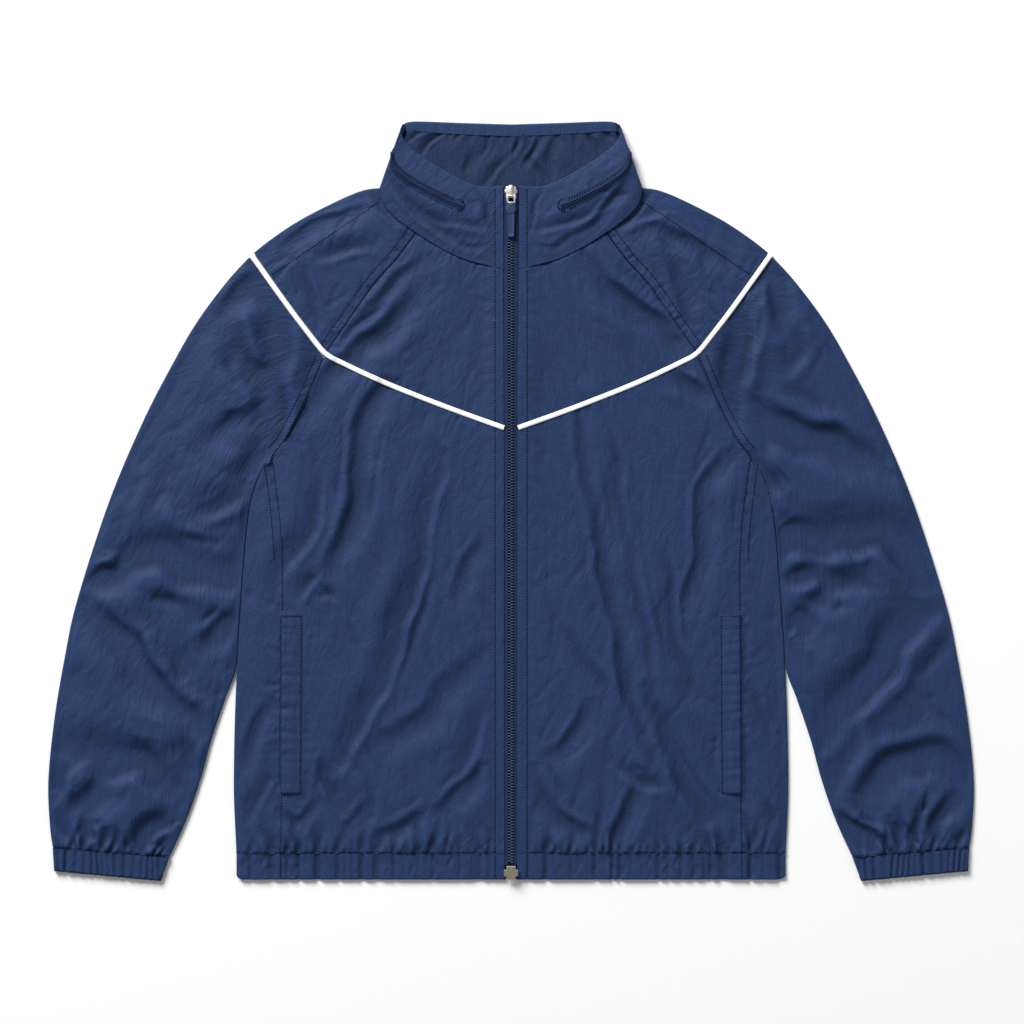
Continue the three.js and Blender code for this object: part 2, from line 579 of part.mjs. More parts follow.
function cuff(side) {
  const columns = 2 * CUFF_RIBS;
  const plan = patch({
    low: straight(CUFF.top),
    high: straight(CUFF.bottom),
    start: straight([CUFF.top[0], CUFF.bottom[0]]),
    end: straight([CUFF.top[1], CUFF.bottom[1]]),
  }, columns, steps(1));
  const below = steps(GRID.cuffBelow).slice(1, -1);
  const inner = CUFF_HEIGHT - CUFF_RIB - WALL / 2;
  const ribbed = (at, c) => pair(side, at, CUFF_HEIGHT + CUFF_RIB * wave(c / 2, 1), inner);
  const drawn = drawnIn(plan, { low: HALF_SEAM, start: 0, end: 0 });
  return wallGeometry(drawn.map((row) => ring(side, row, below, ribbed)), true);
}

// Hem band

function hemFront(side) {
  const columns = 2 * HEM_WAVES;
  const start = ZIP_HALF + 1;
  const rows = [0, HEM_DEPTH - HALF_SEAM].map((y) => steps(columns).map((share, c) => {
    const at = new THREE.Vector2(mix(start, SIDE_X - HALF_SEAM, share), y);
    const height = Math.min(HEM_HEIGHT, bodyHeight(at.x, HEM_DEPTH)) + HEM_WAVE * wave(c / 2, 1);
    return pair(side, at, height, HEM_HEIGHT - HEM_WAVE - WALL);
  }));
  return wallGeometry(rows);
}

function hemSide(side) {
  const rows = [0, HEM_DEPTH - HALF_SEAM].map((y) => {
    const edge = new THREE.Vector2(BODY_FOLD[0][0], y);
    const seam = new THREE.Vector2(SIDE_X + HALF_SEAM, y);
    return {
      above: steps(GRID.above).map((s) => seam.clone().lerp(edge, s)),
      below: steps(GRID.below).map((s) => edge.clone().lerp(seam, s)),
    };
  });
  return wallGeometry(wrapRows(side, rows.map((row) => row.above), rows.map((row) => row.below),
    (x) => Math.min(HEM_HEIGHT, bodyHeight(x, HEM_DEPTH))));
}

function hemBack() {
  const width = 2 * SIDE_X - SEAM;
  const depth = HEM_DEPTH - HALF_SEAM;
  return new THREE.BoxGeometry(width, depth, WALL, GRID.hemBack).translate(0, depth / 2, WALL / 2);
}

// Collar

// Height of the front of the collar at a share of its depth.
function collarHeight(x, y, t) {
  const half = Math.abs(x);
  const swell = COLLAR_PUFF * Math.sin(Math.PI * t) * smoothstep(half, ...COLLAR_SWELL);
  return COLLAR_TOP + swell + creaseHeight(COLLAR_CREASES, half, y);
}

// One half of the collar's band, row by row from the neckline up: from the zip round the side
// fold to the centre back.
function collarHalf(side) {
  const depth = steps(GRID.collarRows);
  const between = (bottom, top, shares) =>
    drawnIn(depth.map((t) => shares.map((s) => bottom(s).clone().lerp(top(s), t))), { low: SEAM });
  const above = between(seams.neckline, seams.collarFrontTop, steps(GRID.collarFront));
  const below = between(seams.backNeck, seams.collarBackTop, steps(GRID.collarBack));
  const fold = { top: COLLAR_TOP, base: COLLAR_LIFT, round: COLLAR_ROUND, inside: COLLAR_INSIDE };
  return depth.map((t, r) => {
    const edge = above[r][GRID.collarFront];
    const top = above[r].slice(0, -1);
    const bottom = below[r].slice(1);
    return [
      ...top.map((at) => pair(side, at, collarHeight(at.x, at.y, t), COLLAR_INSIDE)),
      ...foldPairs(side, edge, top[top.length - 1], bottom[0], fold),
      ...bottom.map((at) => pair(side, at, COLLAR_LIFT, COLLAR_LIFT + WALL)),
    ];
  });
}

// The whole band, from the left front round the back to the right front.
function collarRows() {
  const [left, right] = [collarHalf(1), collarHalf(-1)];
  return left.map((row, r) => [...row, ...right[r].slice(0, -1).reverse()]);
}

const collar = () => wallGeometry(collarRows());

// The hood's zip runs round the collar, on points of the collar's outer face, moved out.
function hoodZip() {
  const { row, shares, start, thick } = HOOD_ZIP;
  const [low, high] = collarRows().slice(row, row + 2);
  const rows = shares.map((share) => low.slice(start, -start).map((from, i) => {
    const to = high[start + i];
    const outer = from.outer.clone().lerp(to.outer, share);
    const out = outer.clone().sub(from.inner.clone().lerp(to.inner, share)).normalize();
    return {
      outer: outer.clone().addScaledVector(out, SEAM + thick),
      inner: outer.clone().addScaledVector(out, SEAM),
    };
  }));
  return wallGeometry(rows);
}

// The inside of the collar's back, which shows above the front of the collar.
function collarFacing() {
  const { below, above, side, low, thick, wrinkle } = FACING;
  const edge = (s, t) => {
    const share = mix(1 - side, 1, 1 - Math.abs(s));
    return seams.backNeck(share).clone().lerp(seams.collarBackTop(share), t);
  };
  const [across, up] = GRID.facing;
  const rows = steps(up).map((v) => steps(across).map((u, c) => {
    const s = mix(-1, 1, u);
    const at = edge(s, mix(below, above, v));
    const wrinkled = wrinkle * wave(c / 2, 1) * Math.sin(Math.PI * v);
    return pair(Math.sign(s) || 1, at, low + thick + wrinkled, low);
  }));
  return wallGeometry(rows);
}

// Trim

// A strip of the given half width along a line, with its outer face raised along the middle.
function stripPlan(line, half, count) {
  const centre = steps(count).map(line);
  return centre.map((at, i) => {
    const before = centre[Math.max(i - 1, 0)];
    const after = centre[Math.min(i + 1, count)];
    const across = new THREE.Vector2(before.y - after.y, after.x - before.x).normalize();
    return [-half, 0, half].map((by) => at.clone().addScaledVector(across, by));
  });
}

function pipingFront(side) {
  const plan = stripPlan(stretch(seams.pipingFront, ...PIPE_STRETCH.front), PIPE_HALF, GRID.piping);
  return wallGeometry(plan.map((row) => row.map((at, c) => {
    const height = bodyHeight(side * row[1].x, row[1].y);
    const bead = c === 1 ? PIPE_BEAD : 0;
    return upperPair(side, at, height + bead, WALL + bead);
  })));
}

// The sleeve's piping runs over the shoulder and back along the lower layer.
function pipingSleeve(side) {
  const over = stripPlan(stretch(seams.pipingSleeve, ...PIPE_STRETCH.sleeve), PIPE_HALF, GRID.piping);
  const edge = over[over.length - 1];
  const rows = edge.map((_, c) => {
    const bead = c === 1 ? PIPE_BEAD : 0;
    const top = over.slice(0, -1).map((row) => {
      const height = bodyHeight(side * row[1].x, row[1].y);
      return upperPair(side, row[c], height + bead, WALL + bead);
    });
    const back = over.slice(0, -1).reverse();
    const below = back.filter((_row, i) => i % 3 === 2).map((row) => row[c]);
    const turned = foldPairs(side, edge[c], over[over.length - 2][c], below[0]);
    return [...top, ...turned, ...below.map((at) => lowerPair(side, at))];
  });
  return wallGeometry(rows);
}

// The pocket's welt lies on the last columns of the lower front, moved out from its points.
function pocketWelt(side) {
  const { columns, low, high, edge, lift, thick } = POCKET;
  const plan = frontLowerPlan();
  const height = (at, r, c) => frontLowerHeight(side * at.x, at.y, r, c);
  const first = plan[0].length - 1 - columns;
  const rows = plan.map((row, r) => ({ row: row.slice(first), r }))
    .filter(({ row }) => row[columns].y > low && row[columns].y < high);
  const tops = rows.map(({ row, r }) => row.map((at, c) => height(at, r, first + c)));
  const drawn = drawnIn(rows.map(({ row }) => row), { start: edge, end: edge });
  return wallGeometry(drawn.map((row, r) => row.map((at, c) => {
    const top = tops[r][c] + lift;
    return pair(side, at, top + thick, top);
  })));
}

function alongZip(offset, half, { start, end, thick }, rise, bead = 0) {
  const plan = stripPlan(straight([[offset, start], [offset, end]]), half, GRID.zip);
  return wallGeometry(plan.map((row) => row.map((at, c) => {
    const height = zipHeight(at.y) + rise;
    return pair(1, at, height + (c === 1 ? bead : 0), height - thick);
  })));
}

function zipTape(side) {
  const half = (TAPE.outer - TAPE.inner) / 2;
  return alongZip(side * (TAPE.inner + half), half, TAPE, -TAPE.drop);
}

const zipChain = () => alongZip(0, CHAIN.half, CHAIN, 0, CHAIN.rise);

// Hard pieces of the zip

const wasm = await Module();
wasm.setup();

// Several closed geometries joined into one.
function fused(...geometries) {
  const solids = geometries.map((geometry) => {
    const plain = geometry.index ? geometry.toNonIndexed() : geometry.clone();
    plain.deleteAttribute("normal");
    plain.deleteAttribute("uv");
    const merged = mergeVertices(plain, 1e-4);
    return new wasm.Manifold(new wasm.Mesh({
      numProp: 3,
      vertProperties: merged.attributes.position.array,
      triVerts: new Uint32Array(merged.index.array),
    }));
  });
  const { vertProperties, triVerts } = solids.reduce((a, b) => a.add(b)).getMesh();
  const geometry = new THREE.BufferGeometry();
  geometry.setAttribute("position", new THREE.Float32BufferAttribute(vertProperties, 3));
  geometry.setIndex(Array.from(triVerts));
  geometry.computeVertexNormals();
  return geometry;
}

// A plate with rounded edges, cut from a plan outline and standing on z = 0.
function plate(outline, thick, bevel) {
  const shape = outline instanceof THREE.Shape ? outline : new THREE.Shape(outline.map(pointOf));
  const geometry = new THREE.ExtrudeGeometry(shape, {
    depth: thick - 2 * bevel, bevelThickness: bevel, bevelSize: bevel, bevelOffset: -bevel,
    bevelSegments: 1, curveSegments: CORNER_STEPS,
  });
  return geometry.translate(0, 0, bevel);
}

// A box outline from its half width and its two ends.
const oblong = (half, low, high) => [[-half, low], [half, low], [half, high], [-half, high]];

function zipBox() {
  const { width, lugs, low, high, lugLow, lugHigh, thick, bevel, lugBevel } = BOX;
  const body = plate(oblong(width / 2, low, high), thick, bevel);
  const lug = plate(oblong(lugs / 2, lugLow, lugHigh), thick / 2, lugBevel);
  return fused(body, lug.translate(0, 0, thick / 2));
}

function zipSlider() {
  const { length, top, waist, nose, shoulder, flare, thick, bevel } = SLIDER;
  const [w, t, n] = [waist / 2, top / 2, nose / 2];
  const end = length / 2;
  const body = plate([[-w, -end], [w, -end], [t, flare], [t, end - shoulder], [n, end], [-n, end],
    [-t, end - shoulder], [-t, flare]], thick, bevel);
  const arch = new THREE.Shape();
  const reach = BRIDGE.length / 2;
  arch.moveTo(-reach, -thick / 2);
  arch.lineTo(reach, -thick / 2);
  arch.quadraticCurveTo(reach, BRIDGE.height, 0, BRIDGE.height);
  arch.quadraticCurveTo(-reach, BRIDGE.height, -reach, -thick / 2);
  const bridge = plate(arch, BRIDGE.width, BRIDGE.bevel).translate(0, 0, -BRIDGE.width / 2);
  bridge.applyMatrix4(new THREE.Matrix4().makeBasis(
    new THREE.Vector3(0, 1, 0), new THREE.Vector3(0, 0, 1), new THREE.Vector3(1, 0, 0)));
  return fused(body, bridge.translate(0, 0, thick));
}

// The pull's two legs straddle the slider's bridge and meet in a plate. The hinge's axis is the
// local X axis.
function pullLink() {
  const { legGap, leg, legEnd, pivotY, thick, tongue, lap, eye, bevel } = PULL;
  const inner = BRIDGE.width / 2 + legGap;
  const outer = inner + leg;
  const foot = legEnd - pivotY;
  const legs = [-1, 1].map((side) => plate(oblong(leg / 2, foot - lap, eye), thick, bevel)
    .translate(side * (inner + outer) / 2, 0, 0));
  const tail = plate(oblong(outer, foot - tongue, foot), thick, bevel);
  return fused(...legs, tail).translate(0, 0, -thick / 2);
}

// The soft grip: a round head over the link's end and a strap that narrows to its tip.
function pullGrip() {
  const { top: topY, head, width, tip, end, thick, corner, waist: waistShare, bevel } = GRIP;
  const top = topY - PULL.pivotY;
  const low = end - PULL.pivotY;
  const waist = mix(low, top, waistShare);
  const outline = new THREE.Shape();
  outline.moveTo(-tip / 2, low);
  outline.lineTo(tip / 2, low);
  outline.lineTo(width / 2, waist);
  outline.lineTo(width / 2, top - 2 * head);
  outline.quadraticCurveTo(head, top - head, head - corner, top);
  outline.lineTo(corner - head, top);
  outline.quadraticCurveTo(-head, top - head, -width / 2, top - 2 * head);
  outline.lineTo(-width / 2, waist);
  return plate(outline, thick, bevel).translate(0, 0, -thick / 2);
}

// Assembly

const finishes = {
  shell: { color: 0x2c3e5e, roughness: 0.55, metalness: 0 },
  facing: { color: 0x283957, roughness: 0.6, metalness: 0 },
  piping: { color: 0xf3f4f6, roughness: 0.6, metalness: 0 },
  tape: { color: 0x1c2b45, roughness: 0.8, metalness: 0 },
  teeth: { color: 0x1a2840, roughness: 0.45, metalness: 0 },
  grip: { color: 0x263653, roughness: 0.6, metalness: 0 },
  steel: { color: 0xdcdde0, roughness: 0.25, metalness: 1 },
  nickel: { color: 0xb9b3a4, roughness: 0.35, metalness: 1 },
};

function piece(name, geometry, finish) {
  const mesh = new THREE.Mesh(geometry, new THREE.MeshStandardMaterial(finishes[finish]));
  mesh.name = name;
  return mesh;
}

const laid = new THREE.Group();
laid.add(
  piece("back", back(), "shell"),
  piece("hem_back", hemBack(), "shell"),
  piece("collar", collar(), "shell"),
  piece("collar_facing", collarFacing(), "facing"),
  piece("hood_zip", hoodZip(), "tape"),
  piece("zip_chain", zipChain(), "teeth"),
);

for (const [side, hand] of [[1, "left"], [-1, "right"]]) {
  laid.add(
    piece(`front_lower_${hand}`, frontLower(side), "shell"),
    piece(`front_upper_${hand}`, frontUpper(side), "shell"),
    piece(`yoke_front_${hand}`, yokeFront(side), "shell"),
    piece(`yoke_back_${hand}`, yokeBack(side), "shell"),
    piece(`side_panel_${hand}`, sidePanel(side), "shell"),
    piece(`sleeve_${hand}`, sleeve(side), "shell"),
    piece(`cuff_${hand}`, cuff(side), "shell"),
    piece(`hem_front_${hand}`, hemFront(side), "shell"),
    piece(`hem_side_${hand}`, hemSide(side), "shell"),
    piece(`piping_front_${hand}`, pipingFront(side), "piping"),
    piece(`piping_sleeve_${hand}`, pipingSleeve(side), "piping"),
    piece(`pocket_welt_${hand}`, pocketWelt(side), "shell"),
    piece(`zip_tape_${hand}`, zipTape(side), "tape"),
  );
}

const box = piece("zip_box", zipBox(), "nickel");
box.position.z = zipHeight(BOX.low) + BOX.lift;

const slider = piece("zip_slider", zipSlider(), "steel");
const sliderBase = zipHeight(SLIDER.y) + CHAIN.rise + SLIDER.lift;
slider.position.set(0, SLIDER.y, sliderBase);

const pull = new THREE.Group();
pull.add(piece("pull_link", pullLink(), "steel"), piece("pull_grip", pullGrip(), "grip"));
pull.position.set(0, PULL.pivotY, sliderBase + SLIDER.thick + PULL.thick / 2 + PULL.lift);
pull.rotation.x = degToRad(PULL.droop);
laid.add(box, slider, pull);

// The origin is under the middle of the jacket, on the surface that it lies on.
const windbreaker = new THREE.Group();
windbreaker.add(laid);
windbreaker.updateMatrixWorld(true);
const middle = new THREE.Box3().setFromObject(laid, true).getCenter(new THREE.Vector3());
laid.position.set(-middle.x, -middle.y, 0);

export default windbreaker;
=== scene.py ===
"""Dresses the windbreaker that is laid out flat: creased nylon cloth, sewing, piping and zips.

Tables give places in millimetres as they lie: x from the centre front, to the right as one looks
down on it, and y above the hem's lower edge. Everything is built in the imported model's frame.
"""

import math
import random

import bmesh
import bpy
import numpy as np
from bpy.props import FloatProperty, FloatVectorProperty, PointerProperty
from mathutils import Matrix, Vector


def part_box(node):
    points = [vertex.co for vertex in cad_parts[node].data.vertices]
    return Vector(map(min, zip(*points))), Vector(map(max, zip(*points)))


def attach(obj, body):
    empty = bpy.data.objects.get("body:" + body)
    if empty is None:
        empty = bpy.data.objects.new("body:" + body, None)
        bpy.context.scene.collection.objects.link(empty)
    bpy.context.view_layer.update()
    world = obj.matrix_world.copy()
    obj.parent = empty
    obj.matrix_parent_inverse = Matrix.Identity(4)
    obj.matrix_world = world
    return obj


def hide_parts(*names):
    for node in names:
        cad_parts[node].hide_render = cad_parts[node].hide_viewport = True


bl_info = {
    "name": "Laid-out windbreaker",
    "version": (1, 0, 0),
    "blender": (4, 5, 0),
    "location": "3D View > Sidebar > Windbreaker",
    "description": "Creased cloth, sewing, piping and zips on a windbreaker's solids",
    "category": "Object",
}

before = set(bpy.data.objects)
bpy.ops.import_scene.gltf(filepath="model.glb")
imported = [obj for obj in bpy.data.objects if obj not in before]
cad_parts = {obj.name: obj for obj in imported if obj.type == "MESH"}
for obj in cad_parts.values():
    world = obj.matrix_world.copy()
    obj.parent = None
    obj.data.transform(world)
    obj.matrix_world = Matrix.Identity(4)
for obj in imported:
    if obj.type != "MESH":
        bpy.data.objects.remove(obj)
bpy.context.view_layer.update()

MM = 0.001
HEM_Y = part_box("hem_back")[0].y / MM  # the hem's lower edge in the model's frame
LEFT, RIGHT = 1, -1  # the wearer's, so the left half is at +X
HANDS = {LEFT: "left", RIGHT: "right"}

# ---- Seams and folds of the plan, +X half

PLACES = {
    "side": [(232, 26), (231, 80), (230, 265), (230, 320), (232, 355), (236, 390), (240, 418)],
    "armhole_below": [(240, 418), (237, 426), (226, 440), (216.7, 457), (206, 478), (186, 525.5)],
    "armhole_above": [(186, 525.5), (158, 565.7), (136.5, 596), (114, 621), (95, 647)],
    "piping_front": [(6.7, 452), (70, 475), (131, 499.5), (186, 525.5)],
    "piping_sleeve": [(186, 525.5), (219.5, 569), (260, 625.5)],
    "neckline": [(7.5, 610.5), (45, 620), (70, 631.5), (95, 647), (115, 661.5), (128, 677),
                 (131.5, 692.5)],
    "shoulder_fold": [(131.5, 692.5), (148.5, 690), (173, 680), (212, 660), (242, 640),
                      (260, 625.5)],
    "body_fold": [(275, 26), (277.5, 80), (277.5, 120), (276, 180), (273, 240), (271, 270),
                  (268, 313), (265, 348), (261, 376), (255, 397), (247.5, 414.5)],
    "sleeve_fold": [(260, 625.5), (283.5, 600), (313.5, 560), (337, 520), (368, 460), (402, 380),
                    (434.5, 280), (447.5, 220), (457.5, 160), (463.5, 100), (462, 55), (459, 32)],
    "sleeve_inside": [(248.2, 413.2), (255.4, 396.4), (261.4, 375.8), (265.3, 348), (268.2, 313),
                      (271.2, 270), (273.4, 240), (276, 209), (286.5, 180), (300, 140), (311, 100),
                      (325, 60), (342, 22.5)],
    "collar_front_top": [(8, 694.5), (32, 694), (57, 704.5), (89, 724), (107, 741), (108.5, 756.5)],
    "collar_back_top": [(108.5, 756.5), (96, 759), (50, 757.5), (0, 756)],
}
CORNERS = {
    "back_neck": [(131.5, 692.5), (82, 677), (40, 670), (0, 668)],
    "cuff_top": [(459, 31.5), (342, 22)],
    "cuff_bottom": [(457.5, 9), (350.5, -1)],
}
NECK_AT_ARMHOLE = 0.615
NECK_AT_SHOULDER = 0.91
SHOULDER_END = 0.76
UNDERARM_SHARE = 0.76
ARMHOLE_SHARE = 6 / 7
BEND_FADE = (4, 40)

# ---- Heights of the layers, as the solids have them

PUFF = 5.6
PUFF_REACH = 36
FOLD = 3.6
NECK_RISE = 2
NECK_REACH = 110
HEM_DEPTH = 26
HEM_HEIGHT = 4.7
CUFF_HEIGHT = 4.6
COLLAR_TOP = 8.4
COLLAR_PUFF = 3
COLLAR_LIFT = 1.3
FACING = {"below": 0.04, "above": 0.88, "side": 0.93}
HOOD_ZIP_END = 50
UNDER = 0.02  # the lower layer's outer face lies this far above the surface

# ---- Sizes of trim and seams

ZIP_HALF = 6.2
SEAM = 0.3
HALF_SEAM = 0.02  # the cloth meets closer at a seam than the solids do
PIPE_HALF = 2.45
PIPE_GAP = 0.7
PIPE_BEAD = 1.0
TOPSTITCH = 16  # from the centre front
CUFF_RIBS = 15
ZIP_SLOPE = (60, 620)
FELL = 9.2  # width of the felled band along the raglan seams
WELT = {"low": 86, "high": 265.5, "inner": 21.5, "outer": 1.1, "lift": 1.9}
PULL = {"y": 682.5, "z": 12.2, "droop": 1.6}

# ---- Creases: the line of each trough, half its width, its depth, and how much of a ridge
# rises on either side of it

BODY_CREASES = [
    # right half of the jacket, at -X
    ([(-71, 425), (-86, 350), (-99, 290), (-121, 220), (-143, 168), (-166, 128), (-178, 114)], 7.5, 2.2),
    ([(-122, 495), (-146, 470), (-149, 430), (-156, 380), (-166, 340), (-180, 305)], 8, 2.7),
    ([(-191, 415), (-196, 380), (-208, 335), (-226, 315), (-241, 280)], 7, 1.5),
    ([(-86, 595), (-116, 560), (-146, 538), (-161, 518), (-186, 495), (-204, 472)], 8, 2.2),
    ([(-86, 622), (-120, 590), (-161, 550)], 6, 1),
    ([(-26, 230), (-56, 195), (-91, 160), (-136, 130)], 9, 1.4),
    ([(-29, 112), (-56, 85), (-71, 65)], 7, 1.9),
    ([(-81, 72), (-106, 55), (-131, 40)], 6, 1.3),
    ([(-189, 115), (-181, 85), (-169, 67)], 5.5, 1.8),
    ([(-145, 75), (-164, 50)], 5, 1.2),
    ([(-191, 60), (-201, 35)], 5, 1.1),
    ([(-26, 340), (-51, 300), (-56, 280)], 6, 1.2),
    ([(-24, 170), (-41, 135), (-56, 90)], 6, 1),
    ([(-241, 180), (-255, 150), (-266, 115)], 5, 1.1),
    ([(-241, 110), (-250, 85), (-261, 60)], 5, 1),
    ([(-231, 65), (-211, 58), (-193, 80)], 5, 1.1),
    ([(-209, 285), (-200, 297), (-193, 305)], 4.5, 1),
    ([(-189, 284), (-182, 286), (-176, 282)], 4, 1.2),
    ([(-228, 632), (-210, 645), (-191, 655), (-146, 672)], 6, 1.3),
    ([(-193, 625), (-161, 630), (-139, 635)], 6, 1.1),
    ([(-208, 610), (-199, 580), (-196, 555)], 5, 1),
    # left half, at +X
    ([(74, 618), (99, 595), (129, 570), (154, 545), (169, 532)], 8, 2.3),
    ([(164, 508), (178, 495), (194, 482)], 6, 1.5),
    ([(66, 465), (79, 400), (89, 340), (99, 290), (107, 245), (117, 195), (131, 145), (141, 115)], 7, 1.8),
    ([(92, 470), (101, 430), (109, 380), (114, 340), (121, 300), (132, 260), (137, 220), (139, 190)], 7, 1.6),
    ([(139, 190), (152, 150), (164, 115), (179, 90), (197, 62)], 7, 2.5),
    ([(157, 320), (161, 260), (171, 220), (184, 185)], 6, 1.3),
    ([(214, 425), (195, 398), (191, 350), (186, 310), (176, 280)], 7, 2),
    ([(126, 95), (119, 70), (104, 35)], 6, 1.9),
    ([(111, 112), (134, 100), (154, 95)], 5.5, 1.5),
    ([(80, 173), (59, 140), (34, 123)], 7, 1.2),
    ([(22, 110), (39, 75), (64, 50), (79, 45)], 6.5, 1.6),
    ([(59, 245), (79, 210), (97, 180)], 7, 1),
    ([(254, 80), (264, 55)], 4.5, 0.9),
    ([(244, 190), (253, 165), (259, 140)], 5, 0.9),
    ([(129, 650), (144, 652), (179, 635), (219, 618)], 6, 1.3),
    ([(109, 655), (130, 664), (149, 668)], 5, 1.1),
    ([(154, 630), (168, 600), (179, 570), (189, 545)], 6, 1.1),
]
SLEEVE_CREASES = [
    # right sleeve, at -X
    ([(-423, 294), (-393, 308), (-385, 328)], 7, 1.8),
    ([(-381, 324), (-346, 317), (-306, 308), (-269, 303)], 10, 2.7),
    ([(-423, 278), (-391, 240), (-361, 205), (-336, 175), (-316, 145)], 8, 2.3),
    ([(-273, 258), (-289, 250), (-306, 228)], 6, 1.8),
    ([(-339, 230), (-321, 200)], 7, 1),
    ([(-451, 128), (-426, 130), (-401, 123), (-371, 115), (-351, 95), (-333, 80)], 9, 2.1),
    ([(-454, 85), (-449, 102), (-441, 115)], 6, 1.2),
    ([(-401, 120), (-416, 90), (-431, 65)], 8, 1.7),
    ([(-376, 33), (-361, 48), (-341, 54)], 5, 2.2),
    ([(-428, 60), (-426, 35)], 4, 1.5),
    ([(-406, 55), (-404, 35)], 4, 1.4),
    ([(-454, 60), (-439, 40)], 4, 1.3),
    ([(-245, 601), (-234, 557), (-233, 519), (-235, 466), (-241, 450), (-256, 415)], 8, 2.4),
    ([(-246, 599), (-266, 590), (-283, 568)], 6, 1.8),
    ([(-283, 560), (-271, 535), (-256, 508), (-241, 500)], 7, 1.7),
    ([(-273, 393), (-291, 375), (-321, 370)], 7, 1.3),
    ([(-243, 478), (-266, 468), (-286, 450), (-306, 430)], 8, 1.1),
    ([(-343, 410), (-356, 350)], 8, 0.9),
    ([(-253, 425), (-261, 400)], 5, 1.5),
    ([(-331, 380), (-321, 360), (-271, 335)], 7, 0.9),
    ([(-326, 145), (-319, 100)], 6, 1.2),
    # left sleeve, at +X
    ([(232, 472), (264, 462), (299, 445), (339, 428), (369, 415)], 9, 2.5),
    ([(234, 570), (229, 530), (226, 495), (229, 475)], 6.5, 2.4),
    ([(249, 595), (259, 602), (267, 580), (272, 555)], 6, 1.8),
    ([(286, 550), (289, 530), (274, 512)], 6, 1.4),
    ([(244, 420), (259, 400), (271, 383)], 6, 2),
    ([(264, 340), (279, 347), (292, 352)], 5, 1.1),
    ([(266, 323), (289, 332), (324, 340), (359, 340), (384, 330), (414, 305)], 10, 2.7),
    ([(267, 300), (289, 305), (309, 308), (324, 300), (349, 292)], 6, 1.6),
    ([(329, 292), (314, 280), (301, 265)], 7, 1.5),
    ([(274, 255), (289, 255), (297, 240)], 5, 1.2),
    ([(421, 273), (394, 240), (369, 210), (349, 185), (329, 160), (311, 138)], 9, 2.6),
    ([(349, 185), (339, 140), (324, 95)], 7, 1.5),
    ([(354, 75), (374, 105), (399, 125), (424, 130), (444, 115), (457, 90)], 9, 2.1),
    ([(329, 60), (354, 48), (374, 35)], 5, 2.2),
    ([(419, 35), (427, 60), (444, 77)], 5, 1.7),
    ([(384, 60), (394, 35)], 4, 1.5),
    ([(404, 65), (401, 35)], 4, 1.3),
    ([(457, 48), (444, 35)], 4, 1.2),
]
COLLAR_CREASES = [
    ([(121, 699), (102, 680), (88, 663), (70, 647), (51, 635), (42, 622)], 6, 2.6),
    ([(101, 680), (84, 668), (70, 660), (49, 655), (24, 652)], 5, 1.9),
    ([(33, 693), (28, 680), (22, 675), (25, 668), (22, 658), (17, 645)], 2.6, 1.7),
    ([(26, 636), (36, 632), (48, 634)], 3, 1.4),
    ([(104, 736), (88, 720), (66, 707), (50, 700)], 4.5, 1.1),
    ([(16, 688), (24, 662), (30, 648)], 4, 0.8),
]
FACING_CREASES = [
    ([(-71, 747), (-84, 736), (-89, 726)], 3, 1.5),
    ([(-90, 748), (-101, 740)], 2.4, 1.3),
    ([(8, 742), (2, 726)], 2.2, 1.3),
    ([(-4, 721), (-13, 713), (-20, 704), (-29, 695)], 3.6, 1.6),
    ([(-39, 730), (-46, 708)], 5, 1.2),
    ([(-54, 748), (-57, 738)], 2, 0.9),
    ([(-22, 745), (-24, 733), (-31, 724)], 2.4, 1),
    ([(28, 744), (22, 730), (12, 716)], 3, 1.3),
    ([(44, 742), (38, 722), (40, 706)], 4.4, 1.2),
    ([(60, 748), (66, 736)], 2.2, 1),
    ([(76, 747), (86, 735), (90, 727)], 3, 1.4),
    ([(94, 748), (102, 741)], 2.4, 1.1),
    ([(18, 722), (30, 708), (38, 699)], 3.2, 1.2),
]


# ---- Lines and patches

def through(places):
    """A smooth curve through the places, read by its share of the length."""
    p = np.array([places[0], *places, places[-1]], float)
    t = np.linspace(0, 1, 17)[:-1, None]
    runs = []
    for a, b, c, d in zip(p, p[1:], p[2:], p[3:]):
        u, v = (c - a) / 2, (d - b) / 2
        runs.append((2 * b - 2 * c + u + v) * t**3 + (3 * c - 3 * b - 2 * u - v) * t**2 + u * t + b)
    return along(np.vstack([*runs, p[-1]]))


def along(points):
    """Straight stretches between points, read the same way."""
    points = np.array(points, float)
    walked = np.concatenate([[0], np.cumsum(np.linalg.norm(np.diff(points, axis=0), axis=1))])
    share = walked / walked[-1]

    def read(s):
        return np.stack([np.interp(s, share, points[:, i]) for i in (0, 1)], -1)

    read.length = walked[-1]
    return read


def stretch(line, start, end):
    """Part of a line, or the line backwards."""
    return lambda s: line(start + (end - start) * np.asarray(s, float))


def joined(first, second, share=0.5):
    """Two lines end to end."""
    def read(s):
        s = np.asarray(s, float)
        early = (s < share)[..., None]
        return np.where(early, first(np.minimum(s / share, 1)),
                        second(np.maximum((s - share) / (1 - share), 0)))
    return read


SEAMS = {name: through(places) for name, places in PLACES.items()}
SEAMS |= {name: along(places) for name, places in CORNERS.items()}
DENSE = {name: line(np.linspace(0, 1, 33)) for name, line in SEAMS.items()}


def steps(count):
    return np.linspace(0, 1, count + 1)


def mix(a, b, t):
    return a + (b - a) * t


def smoothstep(x, low, high):
    t = np.clip((x - low) / (high - low), 0, 1)
    return t * t * (3 - 2 * t)


def bell(x):
    return np.exp(-x * x)


